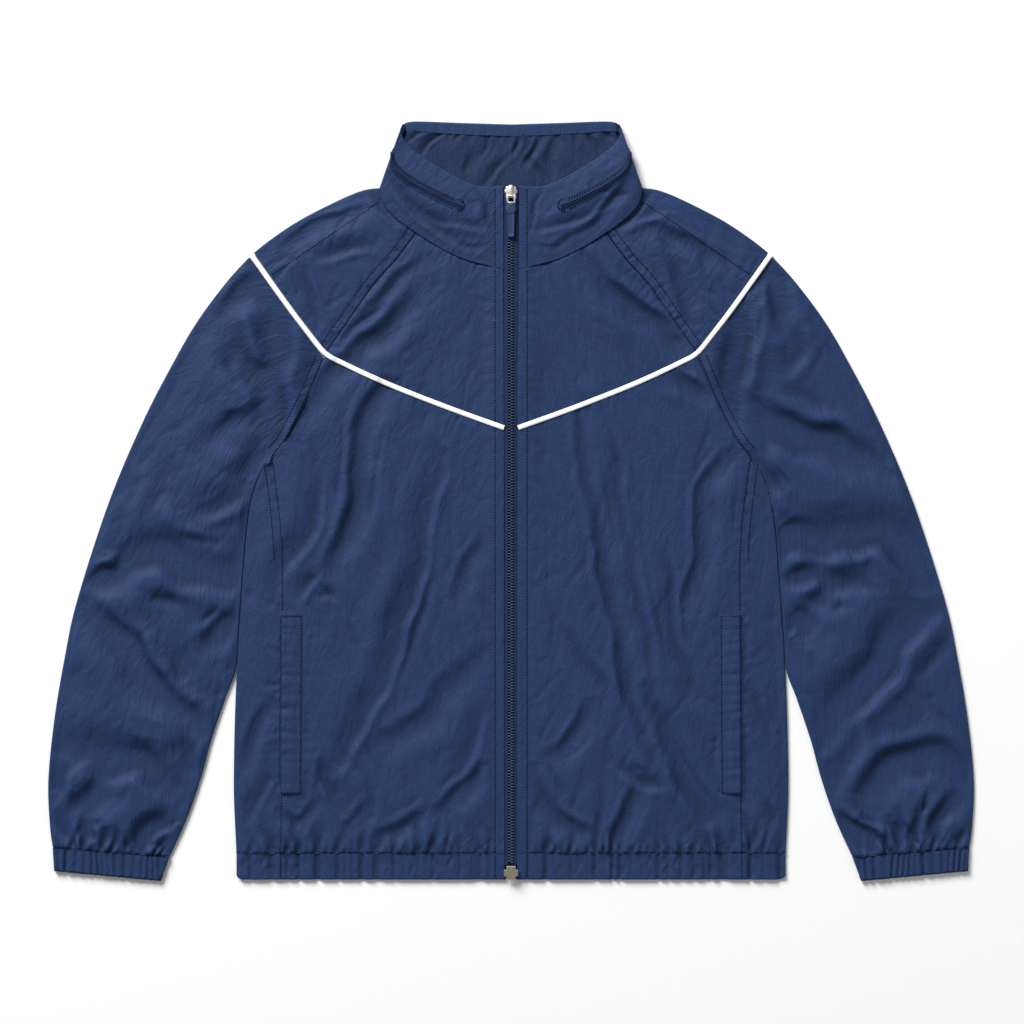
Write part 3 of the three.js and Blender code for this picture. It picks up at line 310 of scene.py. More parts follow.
def coons(low, high, start, end, s, t):
    """A four-sided patch of the plan: s across and t up, one row for each t."""
    S, T = s[None, :, None], t[:, None, None]
    ruled = mix(low(s)[None], high(s)[None], T) + mix(start(t)[:, None], end(t)[:, None], S)
    a, b, c, d = low(0.0), low(1.0), high(0.0), high(1.0)
    return ruled - mix(mix(a, b, S), mix(c, d, S), T)


def nearest(points, x, y):
    """How far each place is from a line of points, which side of it, and how far along."""
    best, share, side, walked = np.full(x.shape, 1e9), np.zeros(x.shape), np.ones(x.shape), 0.0
    for (ax, ay), (bx, by) in zip(points, points[1:]):
        length = math.hypot(bx - ax, by - ay)
        cut = np.clip(((x - ax) * (bx - ax) + (y - ay) * (by - ay)) / length**2, 0, 1)
        distance = np.hypot(x - mix(ax, bx, cut), y - mix(ay, by, cut))
        closer = distance < best
        best = np.where(closer, distance, best)
        share = np.where(closer, walked + cut * length, share)
        side = np.where(closer, np.sign((bx - ax) * (y - ay) - (by - ay) * (x - ax)), side)
        walked += length
    return best, side, share, walked


# ---- Relief of the cloth

class Relief:
    """Heights that creases, seams and gathers add to the cloth, as functions of the place."""

    def __init__(self):
        self.parts = []

    def crease(self, places, width, depth, ridge=0.4, seed=0):
        """A soft trough with uneven depth and a low ridge on either side."""
        line = through(places)
        count = max(6, int(line.length / 7))
        points = line(np.linspace(0, 1, count))
        rng = np.random.default_rng(seed)
        phase, lean = rng.uniform(0, 6.28, 3), rng.choice([-1, 1]) * rng.uniform(0.25, 0.5)
        low = points.min(0) - 5 * width
        high = points.max(0) + 5 * width

        def height(x, y):
            z = np.zeros(x.shape)
            near = (x > low[0]) & (x < high[0]) & (y > low[1]) & (y < high[1])
            if not near.any():
                return z
            d, side, s, length = nearest(points, x[near], y[near])
            wander = 0.25 * width * np.sin(s / 17 + phase[0]) + 0.1 * width * np.sin(s / 7 + phase[1])
            off = d * side + wander
            d = np.abs(off)
            taper = np.sin(math.pi * mix(0.06, 0.94, s / length)) ** 0.8
            uneven = 1 + 0.22 * np.sin(s / 21 + phase[2])
            steep = width * (1 + lean * np.tanh(off / width))
            z[near] = depth * taper * uneven * (
                ridge * bell(d / steep - 1.7) - bell(d / steep))
            return z

        self.parts.append(height)
        for way in rng.choice([-1, 1], rng.integers(1, 3)):
            start = rng.uniform(0, 0.45)
            beside = line(np.linspace(start, start + rng.uniform(0.3, 0.55), 9))
            beside = offset(beside, way * width * rng.uniform(1.1, 2.1))
            self.streak(beside, width * rng.uniform(0.28, 0.45), depth * rng.uniform(0.18, 0.36))

    def streak(self, points, width, depth):
        """A thin, shallow trough that fades out at both ends."""
        low, high = points.min(0) - 3 * width, points.max(0) + 3 * width

        def height(x, y):
            z = np.zeros(x.shape)
            near = (x > low[0]) & (x < high[0]) & (y > low[1]) & (y < high[1])
            if near.any():
                d, _, s, length = nearest(points, x[near], y[near])
                z[near] = -depth * bell(d / width) * np.sin(math.pi * np.clip(s / length, 0, 1)) ** 0.7
            return z

        self.parts.append(height)

    def wrinkles(self, count, low, high, lengths, turn, depth, seed, width=(2.2, 4.2), spread=0.35):
        """Many small curved troughs scattered over a region, mostly along one direction."""
        rng = np.random.default_rng(seed)
        for _ in range(count):
            middle = np.array(low) + rng.random(2) * np.subtract(high, low)
            long, heading = rng.uniform(*lengths), turn + rng.normal(0, spread)
            bend = rng.uniform(-0.6, 0.6)
            t = np.linspace(-0.5, 0.5, 6)
            angle = heading + bend * t
            walked = np.cumsum(np.stack([np.cos(angle), np.sin(angle)], -1) * long / 5, axis=0)
            self.streak(middle + walked - walked.mean(0), rng.uniform(*width), depth * rng.uniform(0.35, 1))

    def groove(self, points, width, depth):
        """An even groove along a seam or a row of stitches; a negative depth raises it."""
        points = np.asarray(points, float)
        low, high = points.min(0) - 4 * width, points.max(0) + 4 * width

        def height(x, y):
            z = np.zeros(x.shape)
            near = (x > low[0]) & (x < high[0]) & (y > low[1]) & (y < high[1])
            if near.any():
                d = nearest(points, x[near], y[near])[0]
                z[near] = -depth * bell(d / width)
            return z

        self.parts.append(height)

    def puckers(self, points, spacing, reach, depth, seed, width=1.5, sides=(-1, 1)):
        """Short troughs across a seam where the sewing draws the cloth in."""
        points = np.asarray(points, float)
        rng = np.random.default_rng(seed)
        total = float(np.linalg.norm(np.diff(points, axis=0), axis=1).sum())
        rows = []
        at = rng.uniform(0, spacing)
        while at < total:
            rows.append((at, width * rng.uniform(0.7, 1.5), reach * rng.uniform(0.5, 1.6),
                         depth * rng.uniform(0.3, 1.25), rng.uniform(-0.5, 0.5), rng.choice(sides)))
            at += spacing * rng.uniform(0.55, 1.5)
        low, high = points.min(0) - 3 * reach, points.max(0) + 3 * reach

        def height(x, y):
            z = np.zeros(x.shape)
            near = (x > low[0]) & (x < high[0]) & (y > low[1]) & (y < high[1])
            if not near.any():
                return z
            d, side, s, _ = nearest(points, x[near], y[near])
            sum_ = np.zeros(d.shape)
            for place, wide, long, deep, lean, way in rows:
                across = (s - place - lean * d) / wide
                sum_ -= deep * bell(across) * bell(d / long) * np.where(side == way, 1, 0.45)
            z[near] = sum_
            return z

        self.parts.append(height)

    def gathers(self, points, spacing, reach, depth, seed, side, width=2.4, fan=0.35):
        """Folds that fade out away from a gathered seam, alternately high and low."""
        points = np.asarray(points, float)
        rng = np.random.default_rng(seed)
        total = float(np.linalg.norm(np.diff(points, axis=0), axis=1).sum())
        rows, at = [], rng.uniform(0, spacing)
        while at < total:
            long = reach * rng.choice([0.45, 0.7, 1, 1.6], p=[0.3, 0.35, 0.25, 0.1])
            rows.append((at, width * rng.uniform(0.7, 1.4), long, depth * rng.uniform(0.4, 1.2),
                         rng.uniform(-fan, fan)))
            at += spacing * rng.uniform(0.6, 1.5)
        low, high = points.min(0) - 3 * reach, points.max(0) + 3 * reach

        def height(x, y):
            z = np.zeros(x.shape)
            near = (x > low[0]) & (x < high[0]) & (y > low[1]) & (y < high[1])
            if not near.any():
                return z
            d, which, s, _ = nearest(points, x[near], y[near])
            sum_ = np.zeros(d.shape)
            for place, wide, long, deep, lean in rows:
                wider = wide * (1 + 0.9 * np.minimum(d / long, 2))
                across = (s - place - lean * d) / wider
                fade = bell(d / long) * smoothstep(d, -1, 4)
                sum_ += deep * fade * (0.5 * bell(across - 1.5) + 0.5 * bell(across + 1.5) - bell(across))
            z[near] = np.where(which == side, sum_, 0)
            return z

        self.parts.append(height)

    def crumple(self, size, stretched, turn, height_, seed):
        """A faint uneven swell all over, drawn out along one direction."""
        rng = np.random.default_rng(seed)
        field = rng.uniform(-1, 1, (256, 256))
        c, s = math.cos(turn), math.sin(turn)

        def height(x, y):
            u = (x * c + y * s) / size
            v = (y * c - x * s) / (size * stretched)
            i, j = np.floor(u).astype(int), np.floor(v).astype(int)
            a, b = u - i, v - j
            a, b = a * a * (3 - 2 * a), b * b * (3 - 2 * b)
            f = lambda p, q: field[(i + p) % 256, (j + q) % 256]
            return height_ * mix(mix(f(0, 0), f(1, 0), a), mix(f(0, 1), f(1, 1), a), b)

        self.parts.append(height)

    def __call__(self, x, y):
        return sum(part(x, y) for part in self.parts)


def mirrored(points, side):
    """A line of the +X half on the given side."""
    return np.asarray(points, float) * (side, 1)


def offset(points, by):
    """A line drawn aside, to the left of its direction where by is above 0."""
    points = np.asarray(points, float)
    way = np.gradient(points, axis=0)
    way /= np.linalg.norm(way, axis=1)[:, None]
    return points + by * np.stack([-way[:, 1], way[:, 0]], -1)


def part_of(points, start, end):
    """The stretch of a line between two shares of its length."""
    return along(points)(np.linspace(start, end, 33))


relief = {"body": Relief(), "sleeve": Relief(), "collar": Relief(), "under": Relief(),
          "facing": Relief(), "hem": Relief()}


def from_folds(names, x, y):
    return np.minimum.reduce([nearest(DENSE[name], np.abs(x), y)[0] for name in names])


def smooth_body(x, y):
    """Height of the upper layer of the body without its relief."""
    from_fold = from_folds(("body_fold", "shoulder_fold"), x, y)
    return mix(FOLD, PUFF, smoothstep(from_fold, 0, PUFF_REACH))


def bottomed(base, added):
    """A height with its relief, whose troughs flatten out as they near the lower layer."""
    room = base - 2
    return base + np.where(added < 0, -room * np.tanh(-added / room), np.minimum(added, 10 - base))


def body_top(x, y):
    """Height of the upper layer of the fronts, yokes and side panels."""
    from_fold = from_folds(("body_fold", "shoulder_fold"), x, y)
    near_neck = 1 - smoothstep(nearest(DENSE["neckline"], np.abs(x), y)[0], 0, NECK_REACH)
    loose = mix(FOLD, PUFF, smoothstep(from_fold, 0, PUFF_REACH))
    base = loose + NECK_RISE * near_neck * smoothstep(from_fold, 0, PUFF_REACH)
    at_hem = np.exp(-np.maximum(y - HEM_DEPTH, 0) / 20)
    base = mix(base, np.minimum(base, HEM_HEIGHT), at_hem)
    by_zip = 1 - smoothstep(np.abs(x), TOPSTITCH - 3, TOPSTITCH + 18)
    base = mix(base, zip_height(y), by_zip)
    free = smoothstep(from_fold, 0, 9) * (1 - 0.8 * by_zip)
    free = free * (1 - 0.9 * under_welt(np.abs(x), y))
    return bottomed(base, relief["body"](x, y) * free)


def under_welt(x, y):
    """1 where a pocket's welt covers the cloth, 0 away from it."""
    wide = smoothstep(x, 204, 209) * (1 - smoothstep(x, 231, 233))
    return wide * smoothstep(y, 82, 88) * (1 - smoothstep(y, 264, 269))


def sleeve_top(x, y):
    """Height of the upper layer of a sleeve."""
    from_fold = from_folds(("sleeve_fold", "sleeve_inside"), x, y)
    cuff = smoothstep(nearest(DENSE["cuff_top"], np.abs(x), y)[0], 0, 30)
    loose = mix(FOLD, PUFF, smoothstep(from_fold, 0, PUFF_REACH))
    loose = mix(np.minimum(loose, CUFF_HEIGHT), loose, cuff)
    return bottomed(loose, relief["sleeve"](x, y) * smoothstep(from_fold, 0, 9))


# ---- Meshes

def placed(x, y, z):
    """Row-frame metres of a place in the tables' millimetres."""
    return np.stack([x, y + HEM_Y, z], -1) * MM


def painted_crease_shade(points, reach=0.011):
    """How far each point of a sheet lies below the cloth round it, from 0 to 1 at 2 mm: the mask of the
    painted shade that the nylon puts in its creases.
    """
    z = points[..., 2]
    level = z
    for axis in (0, 1):
        step = np.linalg.norm(np.diff(points, axis=axis), axis=2).mean()
        half = min(int(round(reach / step)), z.shape[axis] // 3)
        if half:
            pad = [(half, half) if i == axis else (0, 0) for i in (0, 1)]
            sums = np.cumsum(np.insert(np.pad(level, pad, "edge"), 0, 0, axis=axis), axis=axis)
            ends = np.arange(2 * half + 1, sums.shape[axis])
            level = (np.take(sums, ends, axis) - np.take(sums, ends - 2 * half - 1, axis)) / (2 * half + 1)
    return np.clip((level - z) / 0.002, 0, 1)


def grid_mesh(name, points, uv, ringed=False):
    """A sheet of quads: a bmesh grid whose rows are laid on rows of points."""
    rows, columns = points.shape[:2]
    bm = bmesh.new()
    layer = bm.loops.layers.uv.new("cloth")
    bmesh.ops.create_grid(bm, x_segments=columns - 1, y_segments=rows - 1, size=0.5)
    bm.verts.ensure_lookup_table()
    order = sorted(range(len(bm.verts)), key=lambda i: (round(bm.verts[i].co.y, 6), bm.verts[i].co.x))
    # Each point also keeps the mask of the painted shade in the creases, how far it lies below the cloth
    # round it
    flat, flat_uv, hollow = points.reshape(-1, 3), uv.reshape(-1, 2), painted_crease_shade(points).reshape(-1)
    painted_shade_layer = bm.verts.layers.float.new("painted_crease_shade")
    place_of = {}
    for place, i in enumerate(order):
        bm.verts[i].co = flat[place]
        bm.verts[i][painted_shade_layer] = hollow[place]
        place_of[i] = place
    for face in bm.faces:
        for loop in face.loops:
            loop[layer].uv = flat_uv[place_of[loop.vert.index]]
    if ringed:
        bmesh.ops.remove_doubles(bm, verts=bm.verts, dist=1e-6)
    for edge in bm.edges:
        edge.smooth = not edge.is_boundary
    mesh = bpy.data.meshes.new(name)
    bm.to_mesh(mesh)
    bm.free()
    mesh.polygons.foreach_set("use_smooth", [True] * len(mesh.polygons))
    return mesh


def piece(name, mesh, material, body="jacket", replaces=()):
    """Puts a mesh in the scene as a piece that rides on a body."""
    obj = bpy.data.objects.new(name, mesh)
    bpy.context.scene.collection.objects.link(obj)
    obj.data.materials.clear()
    obj.data.materials.append(material)
    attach(obj, body)
    if replaces:
        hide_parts(*replaces)
    return obj


def faces_down(points):
    """Whether a grid's outside looks down, judged mostly by its upper layer."""
    across = points[:-1, 1:] - points[:-1, :-1]
    along_ = points[1:, :-1] - points[:-1, :-1]
    up = across[..., 0] * along_[..., 1] - across[..., 1] * along_[..., 0]
    return float((up * (points[:-1, :-1, 2] - points[..., 2].min() + 1)).sum()) < 0


def cloth_piece(name, points, side, material, turn=0.0, thick=None, ringed=False,
                downward=False):
    """A thin shell of cloth on rows of points, in the tables' millimetres on the given side."""
    settings = bpy.context.scene.windbreaker_cloth
    points = points * (side, 1, 1)
    c, s = math.cos(turn), math.sin(turn)
    u = np.pad(np.cumsum(np.linalg.norm(np.diff(points, axis=1), axis=2), axis=1), ((0, 0), (1, 0)))
    v = np.pad(np.cumsum(np.linalg.norm(np.diff(points, axis=0), axis=2), axis=0), ((1, 0), (0, 0)))
    u = u - u.mean(1, keepdims=True)
    uv = np.stack([u * c + v * s, v * c - u * s], -1) * MM
    if faces_down(points) != downward:
        points, uv = points[:, ::-1], uv[:, ::-1]
    mesh = grid_mesh(name, placed(points[..., 0], points[..., 1], points[..., 2]), uv, ringed)
    node = name.replace("cloth_", "")
    obj = piece(name, mesh, material, replaces=(node,))
    shell = obj.modifiers.new("cloth thickness", "SOLIDIFY")
    shell.thickness = settings.thickness if thick is None else thick * MM
    shell.offset = -1
    return obj


def drawn_in(plan, low=0.0, high=0.0, start=0.0, end=0.0):
    """Draws the edges of a patch in, to part the pieces at a seam, and spaces its rows again."""
    def shorten(lines, first, last):
        first, last = np.broadcast_to(first, len(lines)), np.broadcast_to(last, len(lines))
        drawn = np.empty_like(lines)
        for i, line in enumerate(lines):
            walked = np.concatenate([[0], np.cumsum(np.linalg.norm(np.diff(line, axis=0), axis=1))])
            at = first[i] + walked * (1 - (first[i] + last[i]) / walked[-1])
            for axis in range(line.shape[1]):
                drawn[i, :, axis] = np.interp(at, walked, line[:, axis])
        return drawn

    plan = shorten(plan.transpose(1, 0, 2), low, high).transpose(1, 0, 2)
    return shorten(plan, start, end)


def unit(ways):
    return ways / np.maximum(np.linalg.norm(ways, axis=-1), 1e-9)[..., None]


def half_round(edge, above, below, z_top, z_low, reach, count=8):
    """Columns of points round a fold, between the upper layer and the lower one."""
    a, b = unit(above - edge), unit(below - edge)
    columns = []
    for turn in np.linspace(math.pi / 2, -math.pi / 2, count + 1)[1:-1]:
        way = mix(b, a, (1 + math.sin(turn)) / 2)
        plan = edge + way * reach * (1 - math.cos(turn))
        z = mix(z_low, z_top, (1 + math.sin(turn)) / 2)
        columns.append(np.concatenate([plan, z[:, None]], -1))
    return np.stack(columns, 1)


def laid(plan, height):
    """Points of a plan at the heights that a function gives them."""
    return np.concatenate([plan, height(plan[..., 0], plan[..., 1])[..., None]], -1)


def wrapped(above, below, top, low, reach=1.8):
    """Rows over the upper layer to a fold, round it and back along the lower layer."""
    edge = above[:, -1]
    up = laid(drawn_in(above, end=reach), top)
    down = laid(drawn_in(below, start=reach), low)
    turn = half_round(edge, up[:, -1, :2], down[:, 0, :2], up[:, -1, 2], down[:, 0, 2], reach)
    return np.concatenate([up, turn, down], 1)


def ring(plan, below, top, low, reach=1.8):
    """Rows round a tube that lies flat: over the top, round one fold, back below and round the other."""
    up = laid(drawn_in(plan, start=reach, end=reach), top)
    down = laid(drawn_in(below, start=reach, end=reach)[:, ::-1], low)
    far = half_round(plan[:, -1], up[:, -1, :2], down[:, 0, :2], up[:, -1, 2], down[:, 0, 2], reach)
    near = half_round(plan[:, 0], up[:, 0, :2], down[:, -1, :2], up[:, 0, 2], down[:, -1, 2], reach)
    return np.concatenate([up, far, down, near[:, ::-1], up[:, :1]], 1)


def turned_under(points, reach=0.7, count=4):
    """Turns the cloth under along its first column."""
    edge, way = points[:, 0], unit((points[:, 1] - points[:, 0]) * (1, 1, 0))
    turns = np.linspace(-math.pi / 2, math.pi / 2, count + 1)
    columns = [edge + way * reach * (1 - math.cos(turn)) + (0, 0, reach * (math.sin(turn) - 1))
               for turn in turns]
    return np.concatenate([np.stack(columns, 1), points[:, 1:]], 1)


def count_of(length, coarser=1.0):
    spacing = bpy.context.scene.windbreaker_cloth.spacing / MM
    return max(2, int(round(length / (spacing * coarser))))


# ---- Relief: the creases of the tables, and what the sewing does to the cloth

def fill_relief():
    """Adds the creases, seams, gathers and puckers to the fields of relief."""
    cloth = bpy.context.scene.windbreaker_cloth
    for name in relief:
        relief[name] = Relief()
    body, sleeve, collar = relief["body"], relief["sleeve"], relief["collar"]
    for field, creases, wider, deeper in ((body, BODY_CREASES, 1.1, 1.0), (sleeve, SLEEVE_CREASES, 1.6, 1.6)):
        for i, (places, width, depth) in enumerate(creases):
            field.crease(places, wider * width * cloth.crease_width,
                         deeper * depth * cloth.crease_depth, seed=i)
    for i, (places, width, depth) in enumerate(BODY_CREASES + SLEEVE_CREASES):
        relief["under"].crease([(-x, y + 12) for x, y in places], width, depth, seed=i + 50)
    for side in (LEFT, RIGHT):
        for i, (places, width, depth) in enumerate(COLLAR_CREASES):
            collar.crease([(side * x, y) for x, y in places], width, depth, seed=20 + i + 10 * side)
    groove = cloth.seam_depth / MM
    pucker = cloth.pucker_depth / MM
    for side in (LEFT, RIGHT):
        line = lambda name: mirrored(DENSE[name], side)
        seed = 100 + side
        body.groove(line("side"), 1.5, 0.45 * groove)
        for i, name in enumerate(("side", "armhole_above", "armhole_below", "neckline")):
            if i:
                body.groove(line(name), 1.3, groove)
            body.puckers(line(name), 8, 9, 1.3 * pucker, seed + 10 * i, width=1.9)
        fell = mirrored(offset(DENSE["armhole_above"], -FELL), side)
        body.groove(fell, 1.3, 0.5 * groove)
        body.puckers(mirrored(offset(DENSE["armhole_above"], -FELL / 2), side), 5.4, 3.8, 1.7 * pucker,
                     seed + 5, width=1.9)
        sleeve.groove(line("armhole_below"), 1.3, groove)
        sleeve.groove(mirrored(offset(DENSE["armhole_below"], -FELL + 1), side), 1.3, 0.5 * groove)
        sleeve.puckers(mirrored(offset(DENSE["armhole_below"], -FELL / 2), side), 6, 4, 1.3 * pucker,
                       seed + 1, width=2)
        for name, field in (("piping_front", body), ("piping_sleeve", body), ("piping_sleeve", sleeve)):
            field.puckers(line(name), 9, 11, 1.6 * pucker, seed + 2, width=2)
        stitched = mirrored([(TOPSTITCH, HEM_DEPTH), (TOPSTITCH, 612)], side)
        body.groove(stitched, 1.4, 0.5 * groove)
        body.puckers(stitched, 11, 9, 1.4 * pucker, seed + 3, width=2.2, sides=(-side,))
        body.puckers(mirrored([(11, HEM_DEPTH), (11, 612)], side), 5, 4.5, 0.5, seed + 12, width=1.8)
        welt = mirrored([(208.5, 88), (208, 263)], side)
        body.puckers(welt, 9, 9, 2 * pucker, seed + 6, width=2.2)
        body.puckers(mirrored([(233, 70), (232, 266)], side), 9, 10, 1.6 * pucker, seed + 7, width=2.2)
        body.crease(mirrored([(139, 688), (127, 672), (113, 656)], side), 4.5, 2.6, seed=seed + 13)
        hem = mirrored([(ZIP_HALF, HEM_DEPTH), (277, HEM_DEPTH)], side)
        body.groove(hem, 1.3, 0.5 * groove)
        body.gathers(hem, 8, 17, 3.2, seed + 4, side, width=2.2)
        body.gathers(hem, 19, 34, 2.4, seed + 8, side, width=3.6)
        relief["hem"].puckers(mirrored([(30, 13), (277, 13)], side), 6, 15, 1.2, seed + 30, width=1.9)
        cuff = mirrored(CORNERS["cuff_top"], side)
        sleeve.groove(cuff, 1.6, groove)
        sleeve.gathers(cuff, 8, 22, 3.4, seed + 5, -side, width=2.3, fan=0.6)
        sleeve.gathers(cuff, 17, 36, 2.6, seed + 9, -side, width=4, fan=0.6)
        body.wrinkles(130, mirrored((20, 34), side), mirrored((228, 440), side), (16, 55),
                      math.pi / 2 - 0.25 * side, 0.75, seed + 20)
        body.wrinkles(40, mirrored((24, 440), side), mirrored((190, 640), side), (14, 42),
                      math.pi / 2 + 0.5 * side, 0.7, seed + 21)
        body.wrinkles(26, mirrored((225, 40), side), mirrored((272, 400), side), (12, 34),
                      math.pi / 2 - 0.4 * side, 0.6, seed + 22)
        sleeve.wrinkles(170, mirrored((250, 60), side), mirrored((455, 600), side), (16, 52),
                        math.pi / 2 + 0.75 * side, 0.75, seed + 23, spread=0.5)
        body.wrinkles(36, mirrored((126, 530), side), mirrored((250, 685), side), (14, 44),
                      math.pi / 2 + 0.45 * side, 0.9, seed + 26, spread=0.4)
        collar.wrinkles(30, mirrored((18, 618), side), mirrored((120, 735), side), (12, 40),
                        0.55 * side, 0.8, seed + 24, spread=0.5)
        collar.puckers(line("neckline"), 8, 8, pucker, seed + 25, width=2)
        collar.groove(mirrored([(TOPSTITCH, 612), (TOPSTITCH, 692)], side), 1.4, 0.5 * groove)
    for i, (places, width, depth) in enumerate(FACING_CREASES):
        relief["facing"].crease(places, width, 1.5 * depth, seed=80 + i)
    relief["facing"].crumple(9, 2.4, 0.5, 0.6, 8)
    for field, turn, seed in ((body, 0.2, 1), (sleeve, -0.35, 11)):
        field.crumple(30, 3.0, turn, 1.0, seed)
        field.crumple(15, 2.6, -turn, 0.45, seed + 1)
        field.crumple(7, 2.2, 2 * turn, 0.16, seed + 2)
    collar.crumple(20, 1.6, 1.2, 0.7, 5)
    collar.crumple(8, 1.4, 0.9, 0.2, 6)


def under(x, y):
    """Height of the lower layer: on the surface, with a few creases that rise off it."""
    return UNDER + np.clip(-0.45 * relief["under"](x, y), 0, 1.2)


# ---- Pieces of the body

def front_lower(side, shell):
    plan = coons(along([(ZIP_HALF, HEM_DEPTH), PLACES["side"][0]]), SEAMS["piping_front"],
                 along([(ZIP_HALF, HEM_DEPTH), PLACES["piping_front"][0]]),
                 joined(SEAMS["side"], SEAMS["armhole_below"], UNDERARM_SHARE),
                 steps(count_of(225, 0.76)), steps(count_of(440, 1.2)))
    plan = drawn_in(plan, low=HALF_SEAM, high=PIPE_HALF + PIPE_GAP, end=HALF_SEAM)
    points = turned_under(laid(plan, lambda x, y: body_top(side * x, y)))
    cloth_piece(f"cloth_front_lower_{HANDS[side]}", points, side, shell)


def front_upper(side, shell):
    plan = coons(SEAMS["piping_front"], stretch(SEAMS["neckline"], 0, NECK_AT_ARMHOLE),
                 along([PLACES["piping_front"][0], PLACES["neckline"][0]]), SEAMS["armhole_above"],
                 steps(count_of(150, 0.75)), steps(count_of(160, 0.75)))
    plan = drawn_in(plan, low=PIPE_HALF + PIPE_GAP, high=HALF_SEAM, end=HALF_SEAM)
    points = turned_under(laid(plan, lambda x, y: body_top(side * x, y)))
    cloth_piece(f"cloth_front_upper_{HANDS[side]}", points, side, shell)


def yoke_front(side, shell):
    neck = stretch(SEAMS["neckline"], NECK_AT_ARMHOLE, NECK_AT_SHOULDER)
    end = stretch(SEAMS["piping_sleeve"], 0, SHOULDER_END)
    plan = coons(stretch(SEAMS["armhole_above"], 1, 0), along([neck(1.0), end(1.0)]), neck, end,
                 steps(count_of(150, 0.7)), steps(count_of(80, 0.7)))
    plan = drawn_in(plan, HALF_SEAM, HALF_SEAM, HALF_SEAM, PIPE_HALF + PIPE_GAP)
    cloth_piece(f"cloth_yoke_front_{HANDS[side]}", laid(plan, lambda x, y: body_top(side * x, y)),
                side, shell)


def yoke_back(side, shell):
    neck = SEAMS["neckline"](NECK_AT_SHOULDER)
    shoulder = along([neck, SEAMS["piping_sleeve"](SHOULDER_END)])
    yoke_point = PLACES["armhole_above"][0]
    rows = steps(count_of(130, 0.75))
    above = coons(along([neck, PLACES["neckline"][-1]]), stretch(SEAMS["piping_sleeve"], SHOULDER_END, 1),
                  shoulder, SEAMS["shoulder_fold"], steps(count_of(36)), rows)
    below = coons(along(CORNERS["back_neck"][:2]), stretch(SEAMS["piping_sleeve"], 1, 0),
                  SEAMS["shoulder_fold"], along([CORNERS["back_neck"][1], yoke_point]),
                  steps(count_of(110, 2)), rows)
    room = {"low": SEAM, "high": PIPE_HALF + PIPE_GAP}
    points = wrapped(drawn_in(above, **room, start=HALF_SEAM), drawn_in(below, **room, end=HALF_SEAM),
                     lambda x, y: body_top(side * x, y), lambda x, y: under(side * x, y))
    cloth_piece(f"cloth_yoke_back_{HANDS[side]}", points, side, shell)


def side_panel(side, shell):
    low = along([PLACES["side"][0], PLACES["body_fold"][0]])
    high = along([PLACES["side"][-1], PLACES["body_fold"][-1]])
    rows = steps(count_of(390, 1.25))
    above = coons(low, high, SEAMS["side"], SEAMS["body_fold"], steps(count_of(40)), rows)
    below = coons(low, high, SEAMS["side"], SEAMS["body_fold"], steps(count_of(40, 2)), rows)[:, ::-1]
    room = {"low": HALF_SEAM, "high": 0.1}
    points = wrapped(drawn_in(above, **room, start=HALF_SEAM), drawn_in(below, **room, end=HALF_SEAM),
                     lambda x, y: body_top(side * x, y), lambda x, y: under(side * x, y))
    cloth_piece(f"cloth_side_panel_{HANDS[side]}", points, side, shell)


def back(shell):
    half = joined(joined(SEAMS["side"], SEAMS["armhole_below"], UNDERARM_SHARE),
                  along([PLACES["armhole_above"][0], CORNERS["back_neck"][1]]), 0.78)
    other = lambda s: half(s) * (-1, 1)
    neck = CORNERS["back_neck"][1:]
    top = along([(-x, y) for x, y in neck] + neck[-2::-1])
    plan = coons(along([other(0.0), half(0.0)]), top, other, half,
                 steps(count_of(464, 3)), steps(count_of(650, 3)))
    plan = drawn_in(plan, HALF_SEAM, SEAM, SEAM, SEAM)
    cloth_piece("cloth_back", laid(plan, under), 1, shell, downward=True)


# ---- Sleeves and cuffs

def sleeve(side, shell):
    def plan_of(u, v):
        underarm = along([PLACES["side"][-1], PLACES["sleeve_inside"][0]])
        lower = joined(stretch(SEAMS["armhole_below"], 1, 0), underarm, ARMHOLE_SHARE)
        armhole = joined(stretch(SEAMS["piping_sleeve"], 1, 0), lower)
        bend = armhole(u) - mix(armhole(0.0), armhole(1.0), u[:, None])
        fade = (1 - v[:, None]) ** mix(*BEND_FADE, u[None] ** 3)
        across = mix(SEAMS["sleeve_fold"](v)[:, None], SEAMS["sleeve_inside"](v)[:, None], u[None, :, None])
        across = across + bend[None] * fade[..., None]
        room = np.where(u > 0.5, SEAM, PIPE_HALF + PIPE_GAP)
        return drawn_in(across, low=room, high=HALF_SEAM)

    rows = steps(count_of(480, 1.12))
    points = ring(plan_of(steps(count_of(170)), rows), plan_of(steps(count_of(170, 3)), rows),
                  lambda x, y: sleeve_top(side * x, y), lambda x, y: under(side * x, y))
    cloth_piece(f"cloth_sleeve_{HANDS[side]}", points, side, shell, ringed=True)


def cuff(side, shell):
    (ax, ay), (bx, by) = CORNERS["cuff_top"]
    (cx, cy), (dx, dy) = CORNERS["cuff_bottom"]
    plan_of = lambda columns, rows: drawn_in(
        coons(along([(ax, ay), (bx, by)]), along([(cx, cy), (dx, dy)]), along([(ax, ay), (cx, cy)]),
              along([(bx, by), (dx, dy)]), steps(columns), steps(rows)), low=HALF_SEAM)
    rows = 12

    def ribbed(x, y):
        share = (x - dx) / (cx - dx) + 0.0009 * (y - 15) * np.sin(11 * (x - dx) / (cx - dx) + side)
        rib = np.abs(np.sin(math.pi * CUFF_RIBS * share + 1.3 * np.sin(13 * share + side)))
        deep = 1.9 + 0.7 * np.sin(23 * share) + 0.5 * np.sin(41 * share + 2)
        return CUFF_HEIGHT + 0.8 - deep * (1 - rib ** 0.8)

    points = ring(plan_of(CUFF_RIBS * 7, rows), plan_of(CUFF_RIBS * 2, rows), ribbed,
                  lambda x, y: np.full(x.shape, UNDER))
    points = np.concatenate([points, tucked_end(points)], 0)
    cloth_piece(f"cloth_cuff_{HANDS[side]}", points, side, shell, ringed=True)


